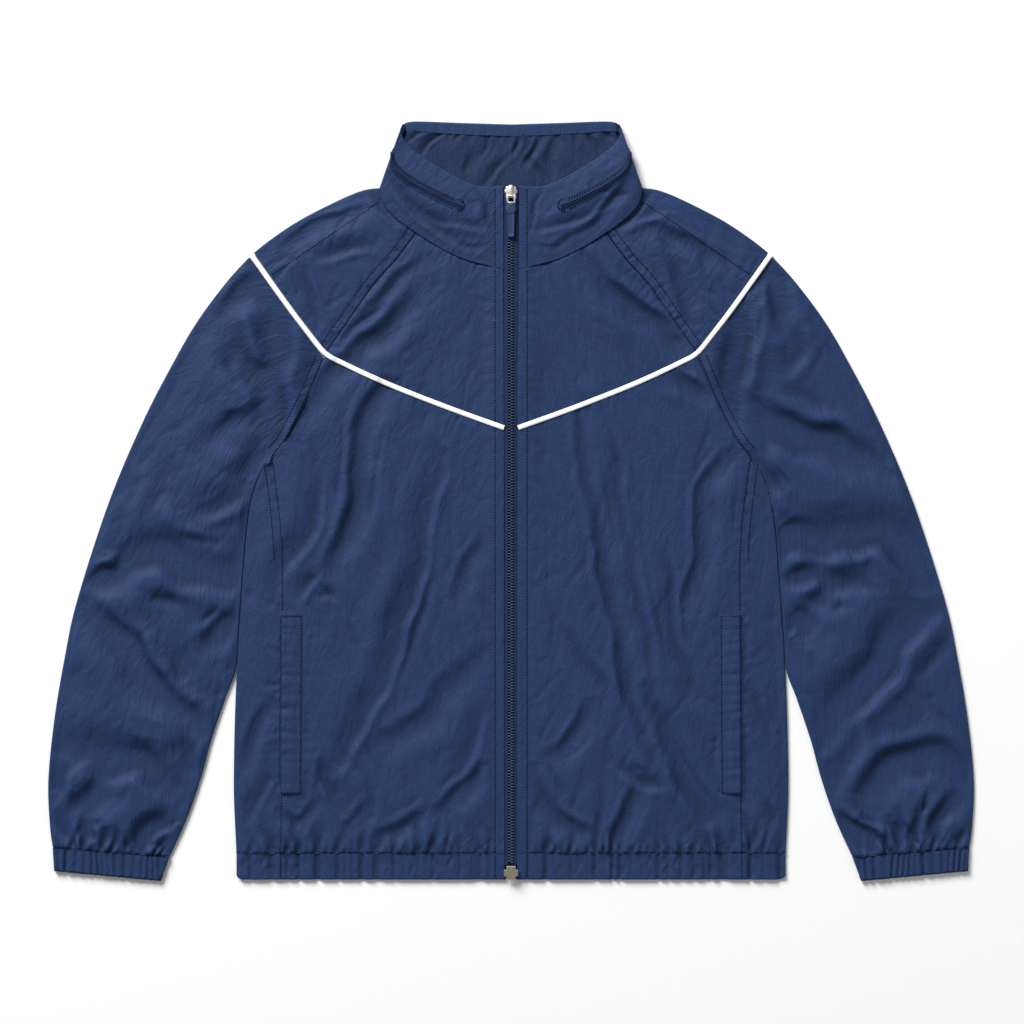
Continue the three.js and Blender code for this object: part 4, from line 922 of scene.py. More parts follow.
def tucked_end(points, depth=5.0, reach=0.9):
    """Rows that turn the open end of a tube in, over an edge and back inside."""
    last, before = points[-1], points[-2]
    way = unit((last - before) * (1, 1, 0))
    middle = points[-1, :, 2].max() / 2
    inward = np.sign(middle - last[:, 2])[:, None] * (0, 0, 1)
    rows = []
    for turn in np.linspace(0.3, math.pi, 5):
        rows.append(last + way * reach * (math.sin(turn) - 0.3) + inward * reach * (1 - math.cos(turn)))
    rows.append(rows[-1] - way * depth)
    return np.stack(rows, 0)


# ---- Hem band

def hem_top(side):
    def height(x, y):
        z = np.minimum(HEM_HEIGHT, body_top(side * x, np.full(x.shape, HEM_DEPTH + 6.0)))
        gathered = relief["hem"](side * x, y) * smoothstep(x, 24, 70)
        return (z - 0.1 + gathered * smoothstep(np.minimum(y, HEM_DEPTH - y), 0, 5)
                - 0.15 * (1 - smoothstep(HEM_DEPTH - y, 0, 2)) - 0.5 * (1 - smoothstep(y, 0, 3)))
    return height


def hem_front(side, shell):
    low = along([(ZIP_HALF, 0), (232 - HALF_SEAM, 0)])
    high = along([(ZIP_HALF, HEM_DEPTH - HALF_SEAM), (232 - HALF_SEAM, HEM_DEPTH - HALF_SEAM)])
    plan = coons(low, high, along([low(0.0), high(0.0)]), along([low(1.0), high(1.0)]),
                 steps(count_of(225, 0.8)), steps(14))
    points = turned_under(laid(plan, hem_top(side)))
    points = turned_under(points.transpose(1, 0, 2)).transpose(1, 0, 2)
    cloth_piece(f"cloth_hem_front_{HANDS[side]}", points, side, shell)


def hem_side(side, shell):
    fold = PLACES["body_fold"][0][0]
    low = along([(232 + HALF_SEAM, 0), (fold - 6, 0), (fold - 2, 1.3), (fold, 4.5)])
    high = along([(232 + HALF_SEAM, HEM_DEPTH - HALF_SEAM), (fold, HEM_DEPTH - HALF_SEAM)])
    plan_of = lambda columns: coons(low, high, along([low(0.0), high(0.0)]), along([low(1.0), high(1.0)]),
                                    steps(columns), steps(14))
    points = wrapped(plan_of(count_of(43)), plan_of(count_of(43, 2))[:, ::-1], hem_top(side),
                     lambda x, y: np.full(x.shape, UNDER))
    cloth_piece(f"cloth_hem_side_{HANDS[side]}", points, side, shell)


def hem_back(shell):
    half, depth = 232 - HALF_SEAM, HEM_DEPTH - HALF_SEAM
    plan = coons(along([(-half, 0), (half, 0)]), along([(-half, depth), (half, depth)]),
                 along([(-half, 0), (-half, depth)]), along([(half, 0), (half, depth)]),
                 steps(count_of(464, 2)), steps(6))
    cloth_piece("cloth_hem_back", laid(plan, lambda x, y: np.full(x.shape, UNDER)), 1, shell,
                downward=True)


# ---- Collar

def collar_top(x, y, t):
    swell = COLLAR_PUFF * np.sin(math.pi * t) * smoothstep(np.abs(x), 10, 60)
    return COLLAR_TOP + swell + relief["collar"](x, y) * np.minimum(1, 4 * t * (1 - t) + 0.15)


def collar_half(side, t, columns, climb=0.0):
    """Points of the collar's outer face on one side: from the zip to the fold, and on to the back.

    A band that climbs is higher up the collar, by that share of its depth, the nearer it is to the zip."""
    rows = t[:, None] + climb * (1 - columns[0][None])
    front = mix(SEAMS["neckline"](columns[0])[None], SEAMS["collar_front_top"](columns[0])[None],
                rows[..., None])
    behind = mix(SEAMS["back_neck"](columns[1])[None], SEAMS["collar_back_top"](columns[1])[None],
                 t[:, None, None])
    top = lambda x, y: collar_top(side * x, y, rows[:, :x.shape[1]])
    return wrapped(drawn_in(front, low=SEAM), drawn_in(behind, low=SEAM), top,
                   lambda x, y: np.full(x.shape, COLLAR_LIFT), reach=2.6)


def collar_points(t, front, behind, climb=0.0):
    """The whole band, from the left front round the back to the right front."""
    columns = (steps(front), steps(behind))
    left = collar_half(LEFT, t, columns, climb)
    right = collar_half(RIGHT, t, columns, climb) * (-1, 1, 1)
    return np.concatenate([left, right[:, :-1][:, ::-1]], 1)


def outward(points):
    """Unit ways out of a band of points whose front is on top."""
    ways = np.cross(np.gradient(points, axis=1), np.gradient(points, axis=0))
    ways = unit(ways)
    return ways * np.sign(ways[:, 3:4, 2:3])


def collar(shell):
    points = collar_points(steps(count_of(84)), count_of(150), count_of(140, 2.5))
    out, last = outward(points), points[-1]
    way = unit((points[-1] - points[-3]) * (1, 1, 0))
    reach = np.interp(out[-1, :, 2], (-1, 1), (1.8, 1.4))[:, None]
    base = last - way * reach
    rolled = [base - out[-1] * reach * (1 - math.cos(turn)) + way * reach * math.sin(turn)
              for turn in np.linspace(0.25, math.pi, 8)]
    inside = [points[-1 - k] - 2 * reach * out[-1] - way * reach for k in range(1, 6)]
    keep = points[:-1]
    points = np.concatenate([keep, np.stack(rolled, 0), np.stack(inside, 0)], 0)
    cloth_piece("cloth_collar", points, 1, shell)


def collar_facing(lining):
    across, up = steps(count_of(240)), steps(count_of(74))
    s = mix(-1, 1, across)
    share = mix(1 - FACING["side"], 1, 1 - np.abs(s))
    t = mix(FACING["below"], FACING["above"], up)
    plan = mix(SEAMS["back_neck"](share)[None], SEAMS["collar_back_top"](share)[None], t[:, None, None])
    plan = plan * np.stack([np.where(s < 0, -1, 1), np.ones(s.shape)], -1)[None]

    def height(x, y):
        gathered = 0.45 * np.sin(x / 1.9 + 1.6 * np.sin(x / 9)) * smoothstep(y, 732, 746)
        folds = relief["facing"](x, y) + gathered
        return 4.1 + folds * smoothstep(np.min([x - x.min(), x.max() - x], 0), 0, 8)

    cloth_piece("cloth_collar_facing", laid(plan, height), 1, lining)


HOOD_ZIP_SHARE = 0.545  # of the collar's depth, where the hood's zip runs at the fold
HOOD_ZIP_SPAN = 0.065  # half its width, as a share of the same depth
HOOD_ZIP_CLIMB = 0.17  # of that depth, by which the zip would be higher at the centre front
# Its profile: places across it from -1 to 1, and how far each stands off the collar in millimetres
HOOD_ZIP_ACROSS = np.array([-1, -0.94, -0.62, -0.56, -0.44, -0.38, -0.3, -0.24, -0.1, 0.02, 0.1, 0.9, 1])
HOOD_ZIP_RISE = np.array([0, 0.3, 0.3, 1.0, 1.0, 0.1, 0.1, 1.2, 1.5, 1.1, 0.35, 0.35, 0])


def hood_zip(tape):
    t, rise = HOOD_ZIP_SHARE + HOOD_ZIP_SPAN * HOOD_ZIP_ACROSS, HOOD_ZIP_RISE
    points = collar_points(t, count_of(150), count_of(140, 2), HOOD_ZIP_CLIMB)
    out = outward(points)
    first = int(np.argmin(np.abs(points[4, :60, 0] - HOOD_ZIP_END)))
    raised = points + out * (SEAM + rise[:, None, None])
    raised[..., 2] = np.maximum(raised[..., 2], UNDER)
    cloth_piece("cloth_hood_zip", raised[:, first:-first], 1, tape, thick=0.3)


# ---- Piping, welts and zip

def piping_lines():
    """The chest's and the raglan's stretch of piping, which meet in a rounded corner."""
    chest, raglan = SEAMS["piping_front"], SEAMS["piping_sleeve"]
    t = np.linspace(0, 1, 13)[:, None]
    corner = mix(mix(chest(0.95), chest(1.0), t), mix(chest(1.0), raglan(0.08), t), t)
    return (along(np.vstack([chest(np.linspace(0.002, 0.94, 56)), corner[:7]])),
            along(np.vstack([corner[6:], raglan(np.linspace(0.09, 1, 56))])))


def piping(name, side, line, white, over_fold=False):
    """A white bead along a seam; over a shoulder's fold it goes on along the lower layer."""
    s = np.linspace(0, 1, count_of(line.length))
    plan = line(s)
    across = unit(np.stack([-np.gradient(plan[:, 1]), np.gradient(plan[:, 0])], -1))
    z = body_top(side * plan[:, 0], plan[:, 1])
    z = np.maximum(np.convolve(np.pad(z, 6, "edge"), np.ones(13) / 13, "valid"), z - 0.4)
    centre = np.concatenate([plan, z[:, None]], -1)
    out = np.tile((0.0, 0.0, 1.0), (len(plan), 1))
    if over_fold:
        edge, way = plan[-1], unit(plan[-1] - plan[-2])
        clear = np.linalg.norm(plan - edge, axis=1) > 1.8
        top, flat = centre[clear], across[clear]
        turns = np.linspace(math.pi / 2, -math.pi / 2, 9)[1:-1]
        round_ = [(*(edge - way * 1.8 * (1 - math.cos(a))), mix(UNDER, top[-1, 2], (1 + math.sin(a)) / 2))
                  for a in turns]
        round_out = [(*(way * math.cos(a)), math.sin(a)) for a in turns]
        below = top[::-2] * (1, 1, 0) + (0, 0, UNDER)
        centre = np.concatenate([top, round_, below])
        out = np.concatenate([out[clear], round_out, np.tile((0.0, 0.0, -1.0), (len(below), 1))])
        across = np.concatenate([flat, np.tile(flat[-1], (len(turns), 1)), flat[::-2]])
    shares = np.array([-1, -1, -0.88, -0.4, 0.4, 0.88, 1, 1])
    rise = PIPE_BEAD * np.array([-0.6, 0.6, 0.95, 1, 1, 0.95, 0.6, -0.6])
    flat = np.concatenate([across, np.zeros((len(across), 1))], -1)
    points = centre[:, None] + flat[:, None] * (PIPE_HALF * shares[:, None]) + out[:, None] * rise[:, None]
    points[..., 2] = np.maximum(points[..., 2], UNDER)
    points = points * (side, 1, 1)
    if faces_down(points):
        points = points[:, ::-1]
    uv = np.stack(np.broadcast_arrays(np.arange(len(points))[:, None] * 2.0, 2 * shares[None]), -1) * MM
    mesh = grid_mesh(name, placed(points[..., 0], points[..., 1], points[..., 2]), uv)
    piece(name, mesh, white, replaces=(name.replace("trim_", ""),))


def welt_height(x, y, share):
    """A welt's face: sewn flat along its inner edge, clear of the cloth along the open one."""
    return smooth_body(x, y) + mix(0.55, WELT["lift"], smoothstep(share, 0, 0.7))


def pocket_welt(side, shell):
    """The welt beside the side seam, open along its outer edge."""
    y = np.linspace(WELT["low"], WELT["high"], count_of(180))
    seam = np.interp(y, [p[1] for p in PLACES["side"]], [p[0] for p in PLACES["side"]])
    columns = np.linspace(WELT["outer"], WELT["inner"], count_of(21))
    plan = np.stack(np.broadcast_arrays(seam[:, None] - columns[None], y[:, None]), -1)
    rng = np.random.default_rng(60 + side)
    rows = [(at + rng.uniform(-2, 2), rng.uniform(1.8, 3.2), rng.uniform(0.3, 1), rng.uniform(-0.5, 0.5))
            for at in np.arange(WELT["low"] + 14, WELT["high"], 9.5)]

    def height(x, y):
        share = (x - x.min(1, keepdims=True)) / np.ptp(x, axis=1)[:, None]
        z = welt_height(side * x, y, share)
        for at, wide, deep, lean in rows:
            z = z - deep * bell((y - at - 6 * lean * share) / wide) * (0.35 + 0.65 * share)
        return z - 0.5 * bell((y - WELT["low"] - 9.5) / 0.9)

    points = turned_under(laid(plan, height), 0.75)
    points = turned_under(points[:, ::-1], 0.3)[:, ::-1]
    points = turned_under(points.transpose(1, 0, 2), 0.35)
    points = turned_under(points[:, ::-1], 0.35)[:, ::-1].transpose(1, 0, 2)
    cloth_piece(f"cloth_pocket_welt_{HANDS[side]}", points, side, shell)


def zip_height(y):
    return mix(HEM_HEIGHT, COLLAR_TOP, smoothstep(y, *ZIP_SLOPE))


def zip_tape(side, tape):
    """Woven tape between the teeth and the front's edge, with a ridge where it holds the teeth."""
    y = np.linspace(15, 691, count_of(676))
    x = np.array([2.7, 3.0, 3.5, 4.2, 5.4, 7.2])
    rise = np.array([-0.6, 0.1, 0.15, -0.2, -0.3, -0.5])
    points = np.stack(np.broadcast_arrays(x[None], y[:, None], zip_height(y)[:, None] - 0.4 + rise[None]), -1)
    points = points * (side, 1, 1)
    if faces_down(points):
        points = points[:, ::-1]
    name = f"zip_tape_cloth_{HANDS[side]}"
    mesh = grid_mesh(name, placed(points[..., 0], points[..., 1], points[..., 2]), points[..., :2] * MM)
    obj = piece(name, mesh, tape, replaces=(f"zip_tape_{HANDS[side]}",))
    shell = obj.modifiers.new("tape thickness", "SOLIDIFY")
    shell.thickness, shell.offset = 0.0005, -1


def repeated(name, unit_mesh, places, material, replaces=(), body="jacket"):
    """Copies of a small mesh at each place, joined in one piece."""
    bm = bmesh.new()
    for place in places:
        unit_mesh.transform(place)
        bm.from_mesh(unit_mesh)
        unit_mesh.transform(place.inverted())
    mesh = bpy.data.meshes.new(name)
    bm.to_mesh(mesh)
    bm.free()
    mesh.polygons.foreach_set("use_smooth", [True] * len(mesh.polygons))
    return piece(name, mesh, material, body=body, replaces=replaces)


def teeth(resin):
    """Moulded teeth, left and right in turn, each a block with rounded edges."""
    sizes = bpy.context.scene.windbreaker_zip
    bm = bmesh.new()
    bmesh.ops.create_cube(bm, size=1, matrix=Matrix.Diagonal((0.0029, sizes.tooth, 0.0017, 1)))
    bmesh.ops.bevel(bm, geom=bm.edges[:], offset=0.0003, segments=1, profile=0.5,
                    affect="EDGES", material=-1)
    tooth = bpy.data.meshes.new("tooth")
    bm.to_mesh(tooth)
    bm.free()
    places, y, side = [], 17.5, LEFT
    while y < 674:
        place = placed(side * 1.25, y, zip_height(np.float64(y)) - 0.35)
        places.append(Matrix.Translation(place))
        y += sizes.pitch / 2 / MM
        side = -side
    repeated("zip_teeth", tooth, places, resin, replaces=("zip_chain",))
    bpy.data.meshes.remove(tooth)


# ---- Sewing

def height_on(piece_kind, side):
    """Height of the cloth that a row of stitches runs over."""
    return {"body": lambda x, y: body_top(x, y), "sleeve": lambda x, y: sleeve_top(x, y),
            "hem": lambda x, y: hem_top(side)(np.abs(x), y),
            "collar": lambda x, y: collar_top(x, y, collar_share(x, y))}[piece_kind]


def collar_share(x, y):
    low = nearest(DENSE["neckline"], np.abs(x), y)[0]
    high = nearest(DENSE["collar_front_top"], np.abs(x), y)[0]
    return low / (low + high)


def row_places(points, height, pitch, lift=0.3, rng=None):
    """Where each stitch of a row lies, turned along the row and down its slope."""
    line = along(points)
    count = max(2, int(line.length / (pitch / MM)))
    at = line((np.arange(count) + 0.5) / count)
    ahead = line((np.arange(count) + 0.7) / count)
    z, z_ahead = height(at[:, 0], at[:, 1]), height(ahead[:, 0], ahead[:, 1])
    places = []
    for i in range(count):
        way = Vector((*(ahead[i] - at[i]), z_ahead[i] - z[i])).normalized()
        turn = way.to_track_quat("X", "Z").to_matrix().to_4x4()
        drift = rng.uniform(-0.12, 0.12)
        where = placed(at[i, 0] + drift, at[i, 1] + drift, z[i] + lift)
        places.append(Matrix.Translation(where) @ turn)
    return places


def sewing(thread):
    """Rows of lockstitch along the seams, edges and welts of both halves."""
    sizes = bpy.context.scene.windbreaker_sewing
    rng = random.Random(7)
    bm = bmesh.new()
    bmesh.ops.create_uvsphere(bm, u_segments=5, v_segments=3, radius=0.5, matrix=Matrix.Rotation(
        math.pi / 2, 4, "Y"))
    bmesh.ops.scale(bm, vec=(sizes.length, sizes.width, sizes.width * 0.7), verts=bm.verts)
    stitch = bpy.data.meshes.new("stitch")
    bm.to_mesh(stitch)
    bm.free()
    for group, rows in stitch_rows().items():
        places = []
        for points, height in rows:
            places += row_places(points, height, sizes.pitch, rng=rng)
        repeated(f"stitches_{group}", stitch, places, thread)
    bpy.data.meshes.remove(stitch)


def stitch_rows():
    """The rows of stitches by group: a line of the plan, and the height it runs at."""
    rows = {"zip": [], "raglan": [], "sides": [], "hem": [], "pockets": [], "collar": [], "cuffs": []}
    for side in (LEFT, RIGHT):
        on = {kind: height_on(kind, side) for kind in ("body", "sleeve", "hem", "collar")}
        line = lambda places: mirrored(places, side)
        rows["zip"] += [(line([(TOPSTITCH, 2), (TOPSTITCH, 25)]), on["hem"]),
                        (line([(TOPSTITCH, 27), (TOPSTITCH, 610)]), on["body"]),
                        (line([(TOPSTITCH, 614), (TOPSTITCH, 691)]), on["collar"])]
        above, below = DENSE["armhole_above"], DENSE["armhole_below"]
        rows["raglan"] += [(line(offset(above, -FELL)), on["body"]),
                           (line(offset(above, -1.3)), on["body"]),
                           (line(offset(below, -1.2)), on["sleeve"]),
                           (line(part_of(offset(below, -FELL + 1), 0.1, 0.97)), on["sleeve"])]
        seam = DENSE["side"]
        rows["sides"] += [(line(part_of(offset(seam, 1.2), 0.62, 1)), on["body"]),
                          (line(part_of(seam, 0, 0.148) - (1.3, 0)), on["body"]),
                          (line([(230.7, 2), (230.7, 25)]), on["hem"]),
                          (line(part_of(offset(seam, -FELL + 2), 0.75, 1)), on["body"])]
        neck, end = SEAMS["neckline"](NECK_AT_SHOULDER), SEAMS["piping_sleeve"](SHOULDER_END)
        rows["raglan"].append((line(along([neck + (1, 1), end + (-1, 2.5)])(np.linspace(0.02, 0.98, 9))),
                               on["body"]))
        rows["hem"] += [(line([(TOPSTITCH, 27.6), (276, 27.6)]), on["body"])]
        inner = [(x - WELT["inner"] + 1.5, y) for x, y in
                 ((231.1, WELT["low"] + 1), (230.2, 200), (230, WELT["high"] - 1))]
        welt = lambda x, y: welt_height(x, y, smoothstep(np.abs(x), 209, 231))
        rows["pockets"] += [(line(inner), welt),
                            # Along the welt's open edge: partly edge stitching, partly dark thread that
                            # stands for the painted shade of the pocket's opening
                            (line([(231.6, 97), (230.6, 200), (230.3, 264)]), welt),
                            (line([(230.4, WELT["high"] - 1.4), (210.5, WELT["high"] - 1.4)]), welt),
                            (line([(230.8, WELT["low"] + 1.2), (210.5, WELT["low"] + 1.2)]), welt)]
        rows["cuffs"].append((line([(458, 33.4), (343, 24)]), on["sleeve"]))
        c = np.linspace(0.37, 0.97, 40)
        for t, rise in ((HOOD_ZIP_SHARE + 0.85 * HOOD_ZIP_SPAN, 0.35),
                        (HOOD_ZIP_SHARE + 0.45 * HOOD_ZIP_SPAN, 0.35),
                        (HOOD_ZIP_SHARE - 1.25 * HOOD_ZIP_SPAN, 0.05)):
            plan = mix(SEAMS["neckline"](c), SEAMS["collar_front_top"](c),
                       (t + HOOD_ZIP_CLIMB * (1 - c))[:, None])
            middle = t + 0.3 * HOOD_ZIP_CLIMB
            rows["collar"].append((line(plan), lambda x, y, t=middle, r=rise: collar_top(x, y, t) + r))
        turn = np.radians(np.linspace(70, 290, 12))
        tack = np.stack([52.5 + 6.2 * np.cos(turn), 674.2 + 6.2 * np.sin(turn)], -1)
        rows["collar"] += [(line(tack), on["collar"]), (line(mix(np.array([52.5, 674.2]), tack, 0.86)),
                                                        on["collar"])]
    return rows


# ---- Slider and pull

def bars(name, blocks, metal, body, replaces):
    """Rounded bars joined in one piece: each has its middle, its size and its corners' radius."""
    bm = bmesh.new()
    for middle, size, radius in blocks:
        part = bmesh.new()
        bmesh.ops.create_cube(part, size=1, matrix=Matrix.Translation(placed(*middle))
                              @ Matrix.Diagonal((*(edge * MM for edge in size), 1)))
        bmesh.ops.bevel(part, geom=part.edges[:], offset=radius * MM, segments=3, profile=0.5,
                        affect="EDGES", material=-1)
        mesh = bpy.data.meshes.new("bar")
        part.to_mesh(mesh)
        part.free()
        bm.from_mesh(mesh)
        bpy.data.meshes.remove(mesh)
    mesh = bpy.data.meshes.new(name)
    bm.to_mesh(mesh)
    bm.free()
    mesh.polygons.foreach_set("use_smooth", [True] * len(mesh.polygons))
    return piece(name, mesh, metal, body=body, replaces=replaces)


def slider(metal):
    """The slider: plates over and under the teeth, shoulders that spread them, and the bridge."""
    blocks = (((0, 687.3, 8.9), (10.4, 11.6, 1.6), 0.7), ((0, 687.3, 6.1), (10.4, 11.6, 1.2), 0.5),
              ((0, 688.4, 7.6), (12.8, 4.2, 3.2), 1.0), ((0, 688.2, 10.4), (4.6, 12.6, 2.6), 1.1),
              ((-4.2, 682.8, 8.0), (1.8, 5.0, 2.6), 0.6), ((4.2, 682.8, 8.0), (1.8, 5.0, 2.6), 0.6))
    bars("zip_slider_cast", blocks, metal, "jacket", ("zip_slider",))


def link(metal):
    """The link: two legs and the bars that join them, one of them under the bridge."""
    legs = [((side * 3.5, 680.3, 11.9), (1.9, 8.6, 1.3), 0.5) for side in (LEFT, RIGHT)]
    bars("pull_link_bent", (*legs, ((0, 683.6, 12.1), (7.6, 1.3, 1.2), 0.5),
                            ((0, 676.7, 11.8), (7.8, 1.5, 1.2), 0.5)),
         metal, "zip_pull", ("pull_link",))


def grip(vinyl):
    """The soft grip: a round head over the link's end and a strap with a raised rim."""
    ys = np.concatenate([np.linspace(641.8, 643.2, 5), np.linspace(644, 664, 21),
                         np.linspace(665, 675.9, 23)])
    centre, radius = 670.7, 5.25
    widths = np.where(ys > 666.6, np.sqrt(np.maximum(radius**2 - (ys - centre) ** 2, 0.02)), 3.5)
    widths = np.where(ys < 666.6, np.maximum(np.interp(ys, [641.8, 643.2, 655, 666.6], [2.3, 3.3, 3.5, 3.5]),
                                             0), widths)
    turns = np.linspace(0, 2 * math.pi, 33)
    c, s = np.cos(turns), np.sin(turns)
    across = np.sign(c) * np.abs(c) ** 0.55
    up = np.sign(s) * np.abs(s) ** 0.55
    ends = np.clip(np.minimum(ys - 641.8, 675.9 - ys) / 0.8, 0.35, 1)
    hollow = 0.6 * (1 - smoothstep(np.abs(across), 0.55, 0.8)) * (s > 0)
    inside = (ys > 644.5) & (ys < 665.5)
    x = widths[:, None] * across[None]
    z = 1.15 * up[None] * ends[:, None] - hollow[None] * inside[:, None]
    droop = math.radians(PULL["droop"])
    y = (ys - PULL["y"])[:, None] + 0 * x
    points = np.stack([x, PULL["y"] + y * math.cos(droop) - z * math.sin(droop),
                       PULL["z"] + y * math.sin(droop) + z * math.cos(droop)], -1)
    if faces_down(points):
        points = points[:, ::-1]
    mesh = grid_mesh("pull_grip_soft", placed(points[..., 0], points[..., 1], points[..., 2]),
                     points[..., :2] * MM, ringed=True)
    bm = bmesh.new()
    bm.from_mesh(mesh)
    bmesh.ops.holes_fill(bm, edges=[e for e in bm.edges if e.is_boundary])
    bmesh.ops.recalc_face_normals(bm, faces=bm.faces)
    bm.to_mesh(mesh)
    bm.free()
    piece("pull_grip_soft", mesh, vinyl, body="zip_pull", replaces=("pull_grip",))


# ---- Materials

def linear(colour):
    """A colour written as sRGB hex, as Blender's linear RGBA."""
    parts = [int(colour[i:i + 2], 16) / 255 for i in (1, 3, 5)]
    return (*(c / 12.92 if c <= 0.04045 else ((c + 0.055) / 1.055) ** 2.4 for c in parts), 1)


def node(tree, kind, inputs=None, **settings):
    """Adds a node with its settings, and fills its inputs with values or other nodes' outputs."""
    new = tree.nodes.new(kind)
    for name, value in settings.items():
        setattr(new, name, value)
    for name, value in (inputs or {}).items():
        if isinstance(value, bpy.types.NodeSocket):
            tree.links.new(value, new.inputs[name])
        else:
            new.inputs[name].default_value = value
    return new


def finished(material, **inputs):
    """Ends a material with its surface."""
    tree = material.node_tree
    surface = node(tree, "ShaderNodeBsdfPrincipled", {k.replace("_", " "): v for k, v in inputs.items()})
    out = node(tree, "ShaderNodeOutputMaterial")
    tree.links.new(surface.outputs["BSDF"], out.inputs["Surface"])
    return material


def blank(name):
    material = bpy.data.materials.new(name)
    material.use_nodes = True
    material.node_tree.nodes.clear()
    return material


def nylon(name, colour, roughness=0.55):
    """Plain-woven nylon shell, dyed and calendered: threads of 0.25 mm, drawn 4 times coarser because
    one pixel of the photograph is 1 mm. It gives the eye a soft sheen broken by fine rumples, and
    its colour is darkened in its hollows: painted shade, for the less of the room that they see.
    """
    material = blank(name)
    tree = material.node_tree
    place = node(tree, "ShaderNodeUVMap", uv_map="cloth").outputs["UV"]
    warp = node(tree, "ShaderNodeTexWave", {"Vector": place, "Scale": 160.0, "Distortion": 1.5},
                wave_type="BANDS", bands_direction="X").outputs["Fac"]
    weft = node(tree, "ShaderNodeTexWave", {"Vector": place, "Scale": 160.0, "Distortion": 1.5},
                wave_type="BANDS", bands_direction="Y").outputs["Fac"]
    weave = node(tree, "ShaderNodeMath", {0: warp, 1: weft}, operation="MULTIPLY").outputs[0]
    along_cloth = node(tree, "ShaderNodeMapping", {"Vector": place, "Scale": (1.0, 0.45, 1.0)}).outputs[0]
    rumple = node(tree, "ShaderNodeTexNoise", {"Vector": along_cloth, "Scale": 120.0, "Detail": 4.0,
                                               "Roughness": 0.6, "Distortion": 0.6}).outputs["Fac"]
    patchy = node(tree, "ShaderNodeTexNoise", {"Vector": place, "Scale": 420.0, "Detail": 2.0}).outputs["Fac"]
    shade = node(tree, "ShaderNodeMapRange", {"Value": patchy, "From Min": 0.3, "From Max": 0.7,
                                              "To Min": 0.93, "To Max": 1.07}).outputs["Result"]
    # Painted shade: the colour falls to 0.58 of itself where the cloth lies 2 mm below the cloth round it
    hollow = node(tree, "ShaderNodeAttribute", attribute_name="painted_crease_shade").outputs["Fac"]
    painted_shade_dim = node(tree, "ShaderNodeMapRange", {"Value": hollow, "To Min": 1.0, "To Max": 0.58}).outputs["Result"]
    shade = node(tree, "ShaderNodeMath", {0: shade, 1: painted_shade_dim}, operation="MULTIPLY").outputs[0]
    tint = node(tree, "ShaderNodeVectorMath", {0: linear(colour)[:3], "Scale": shade},
                operation="SCALE").outputs["Vector"]
    fine = node(tree, "ShaderNodeBump", {"Height": weave, "Strength": 0.12,
                                         "Distance": 0.0003}).outputs["Normal"]
    bump = node(tree, "ShaderNodeBump", {"Height": rumple, "Strength": 0.65, "Distance": 0.0025,
                                         "Normal": fine}).outputs["Normal"]
    return finished(material, Base_Color=tint, Roughness=roughness, Normal=bump, IOR=1.53,
                    Specular_IOR_Level=0.2)


def grained(name, colour, grain, relief_depth, roughness, mottle=0.06, stretched=(1, 1, 1), **inputs):
    """A surface with a fine grain: it shades the colour a little, roughens it unevenly and stands out."""
    material = blank(name)
    tree = material.node_tree
    place = node(tree, "ShaderNodeTexCoord").outputs["Object"]
    place = node(tree, "ShaderNodeMapping", {"Vector": place, "Scale": stretched}).outputs[0]
    speckle = node(tree, "ShaderNodeTexNoise", {"Vector": place, "Scale": grain,
                                                "Detail": 3.0}).outputs["Fac"]
    shade = node(tree, "ShaderNodeMapRange", {"Value": speckle, "From Min": 0.3, "From Max": 0.7,
                                              "To Min": 1 - mottle, "To Max": 1 + mottle}).outputs["Result"]
    tint = node(tree, "ShaderNodeVectorMath", {0: linear(colour)[:3], "Scale": shade},
                operation="SCALE").outputs["Vector"]
    rough = node(tree, "ShaderNodeMapRange", {"Value": speckle, "From Min": 0.3, "From Max": 0.7,
                                              "To Min": roughness - 0.06,
                                              "To Max": roughness + 0.06}).outputs["Result"]
    bump = node(tree, "ShaderNodeBump", {"Height": speckle, "Strength": 0.5,
                                         "Distance": relief_depth}).outputs["Normal"]
    return finished(material, Base_Color=tint, Roughness=rough, Normal=bump, **inputs)


def white_piping():
    # Woven polyester tape folded into flat piping, its threads 0.4 mm apart and drawn twice coarser:
    # a matt, even white with a faint rib. Polyester's index is 1.57.
    return grained("polyester_piping", "#f3f4f6", 1200, 0.0001, 0.75, 0.02, (0.5, 1, 1), IOR=1.57,
                   Specular_IOR_Level=0.3)


def acetal():
    # Teeth moulded from acetal in steel tools: smooth, slightly waxy, with small bright tops.
    # Acetal's index is 1.48.
    return grained("acetal_teeth", "#3a4961", 900, 0.00004, 0.4, 0.05, IOR=1.48, Specular_IOR_Level=0.5)


def vinyl():
    # Soft vinyl moulded over the link, with the fine spark-eroded grain of its tool: satin, no
    # sharp lights. Its index is 1.53.
    return grained("vinyl_grip", "#22375f", 1500, 0.00006, 0.5, 0.05, IOR=1.53, Specular_IOR_Level=0.4)


def spun_thread():
    # Spun polyester thread in the seam, hairy, without any gloss: its own dark navy, deepened to near black
    # as painted shade of the needle holes. Its index is 1.57.
    return grained("polyester_thread", "#060c19", 3000, 0.0001, 0.85, 0.15, IOR=1.57,
                   Specular_IOR_Level=0.1)


def chromed_zinc():
    # Zinc die casting, barrelled and plated with satin chrome: a bright, cool grey that blurs what
    # it mirrors. Chromium reflects about 0.9 of the light here after the plating's warm flash.
    return grained("chromed_zinc", "#efebe6", 700, 0.00005, 0.42, 0.03, Metallic=1.0)


def nickelled_zinc():
    # Zinc die casting with nickel plate that has dulled: warmer and darker than the chrome.
    return grained("nickelled_zinc", "#b5ab9d", 600, 0.00008, 0.48, 0.08, Metallic=1.0)


def paper_floor():
    # A sheet of matt white background paper, 0.2 mm fibres: even, with no gloss.
    return grained("paper_floor", "#fbfbfb", 5000, 0.00002, 0.9, 0.004, IOR=1.5, Specular_IOR_Level=0.1)


# ---- Settings

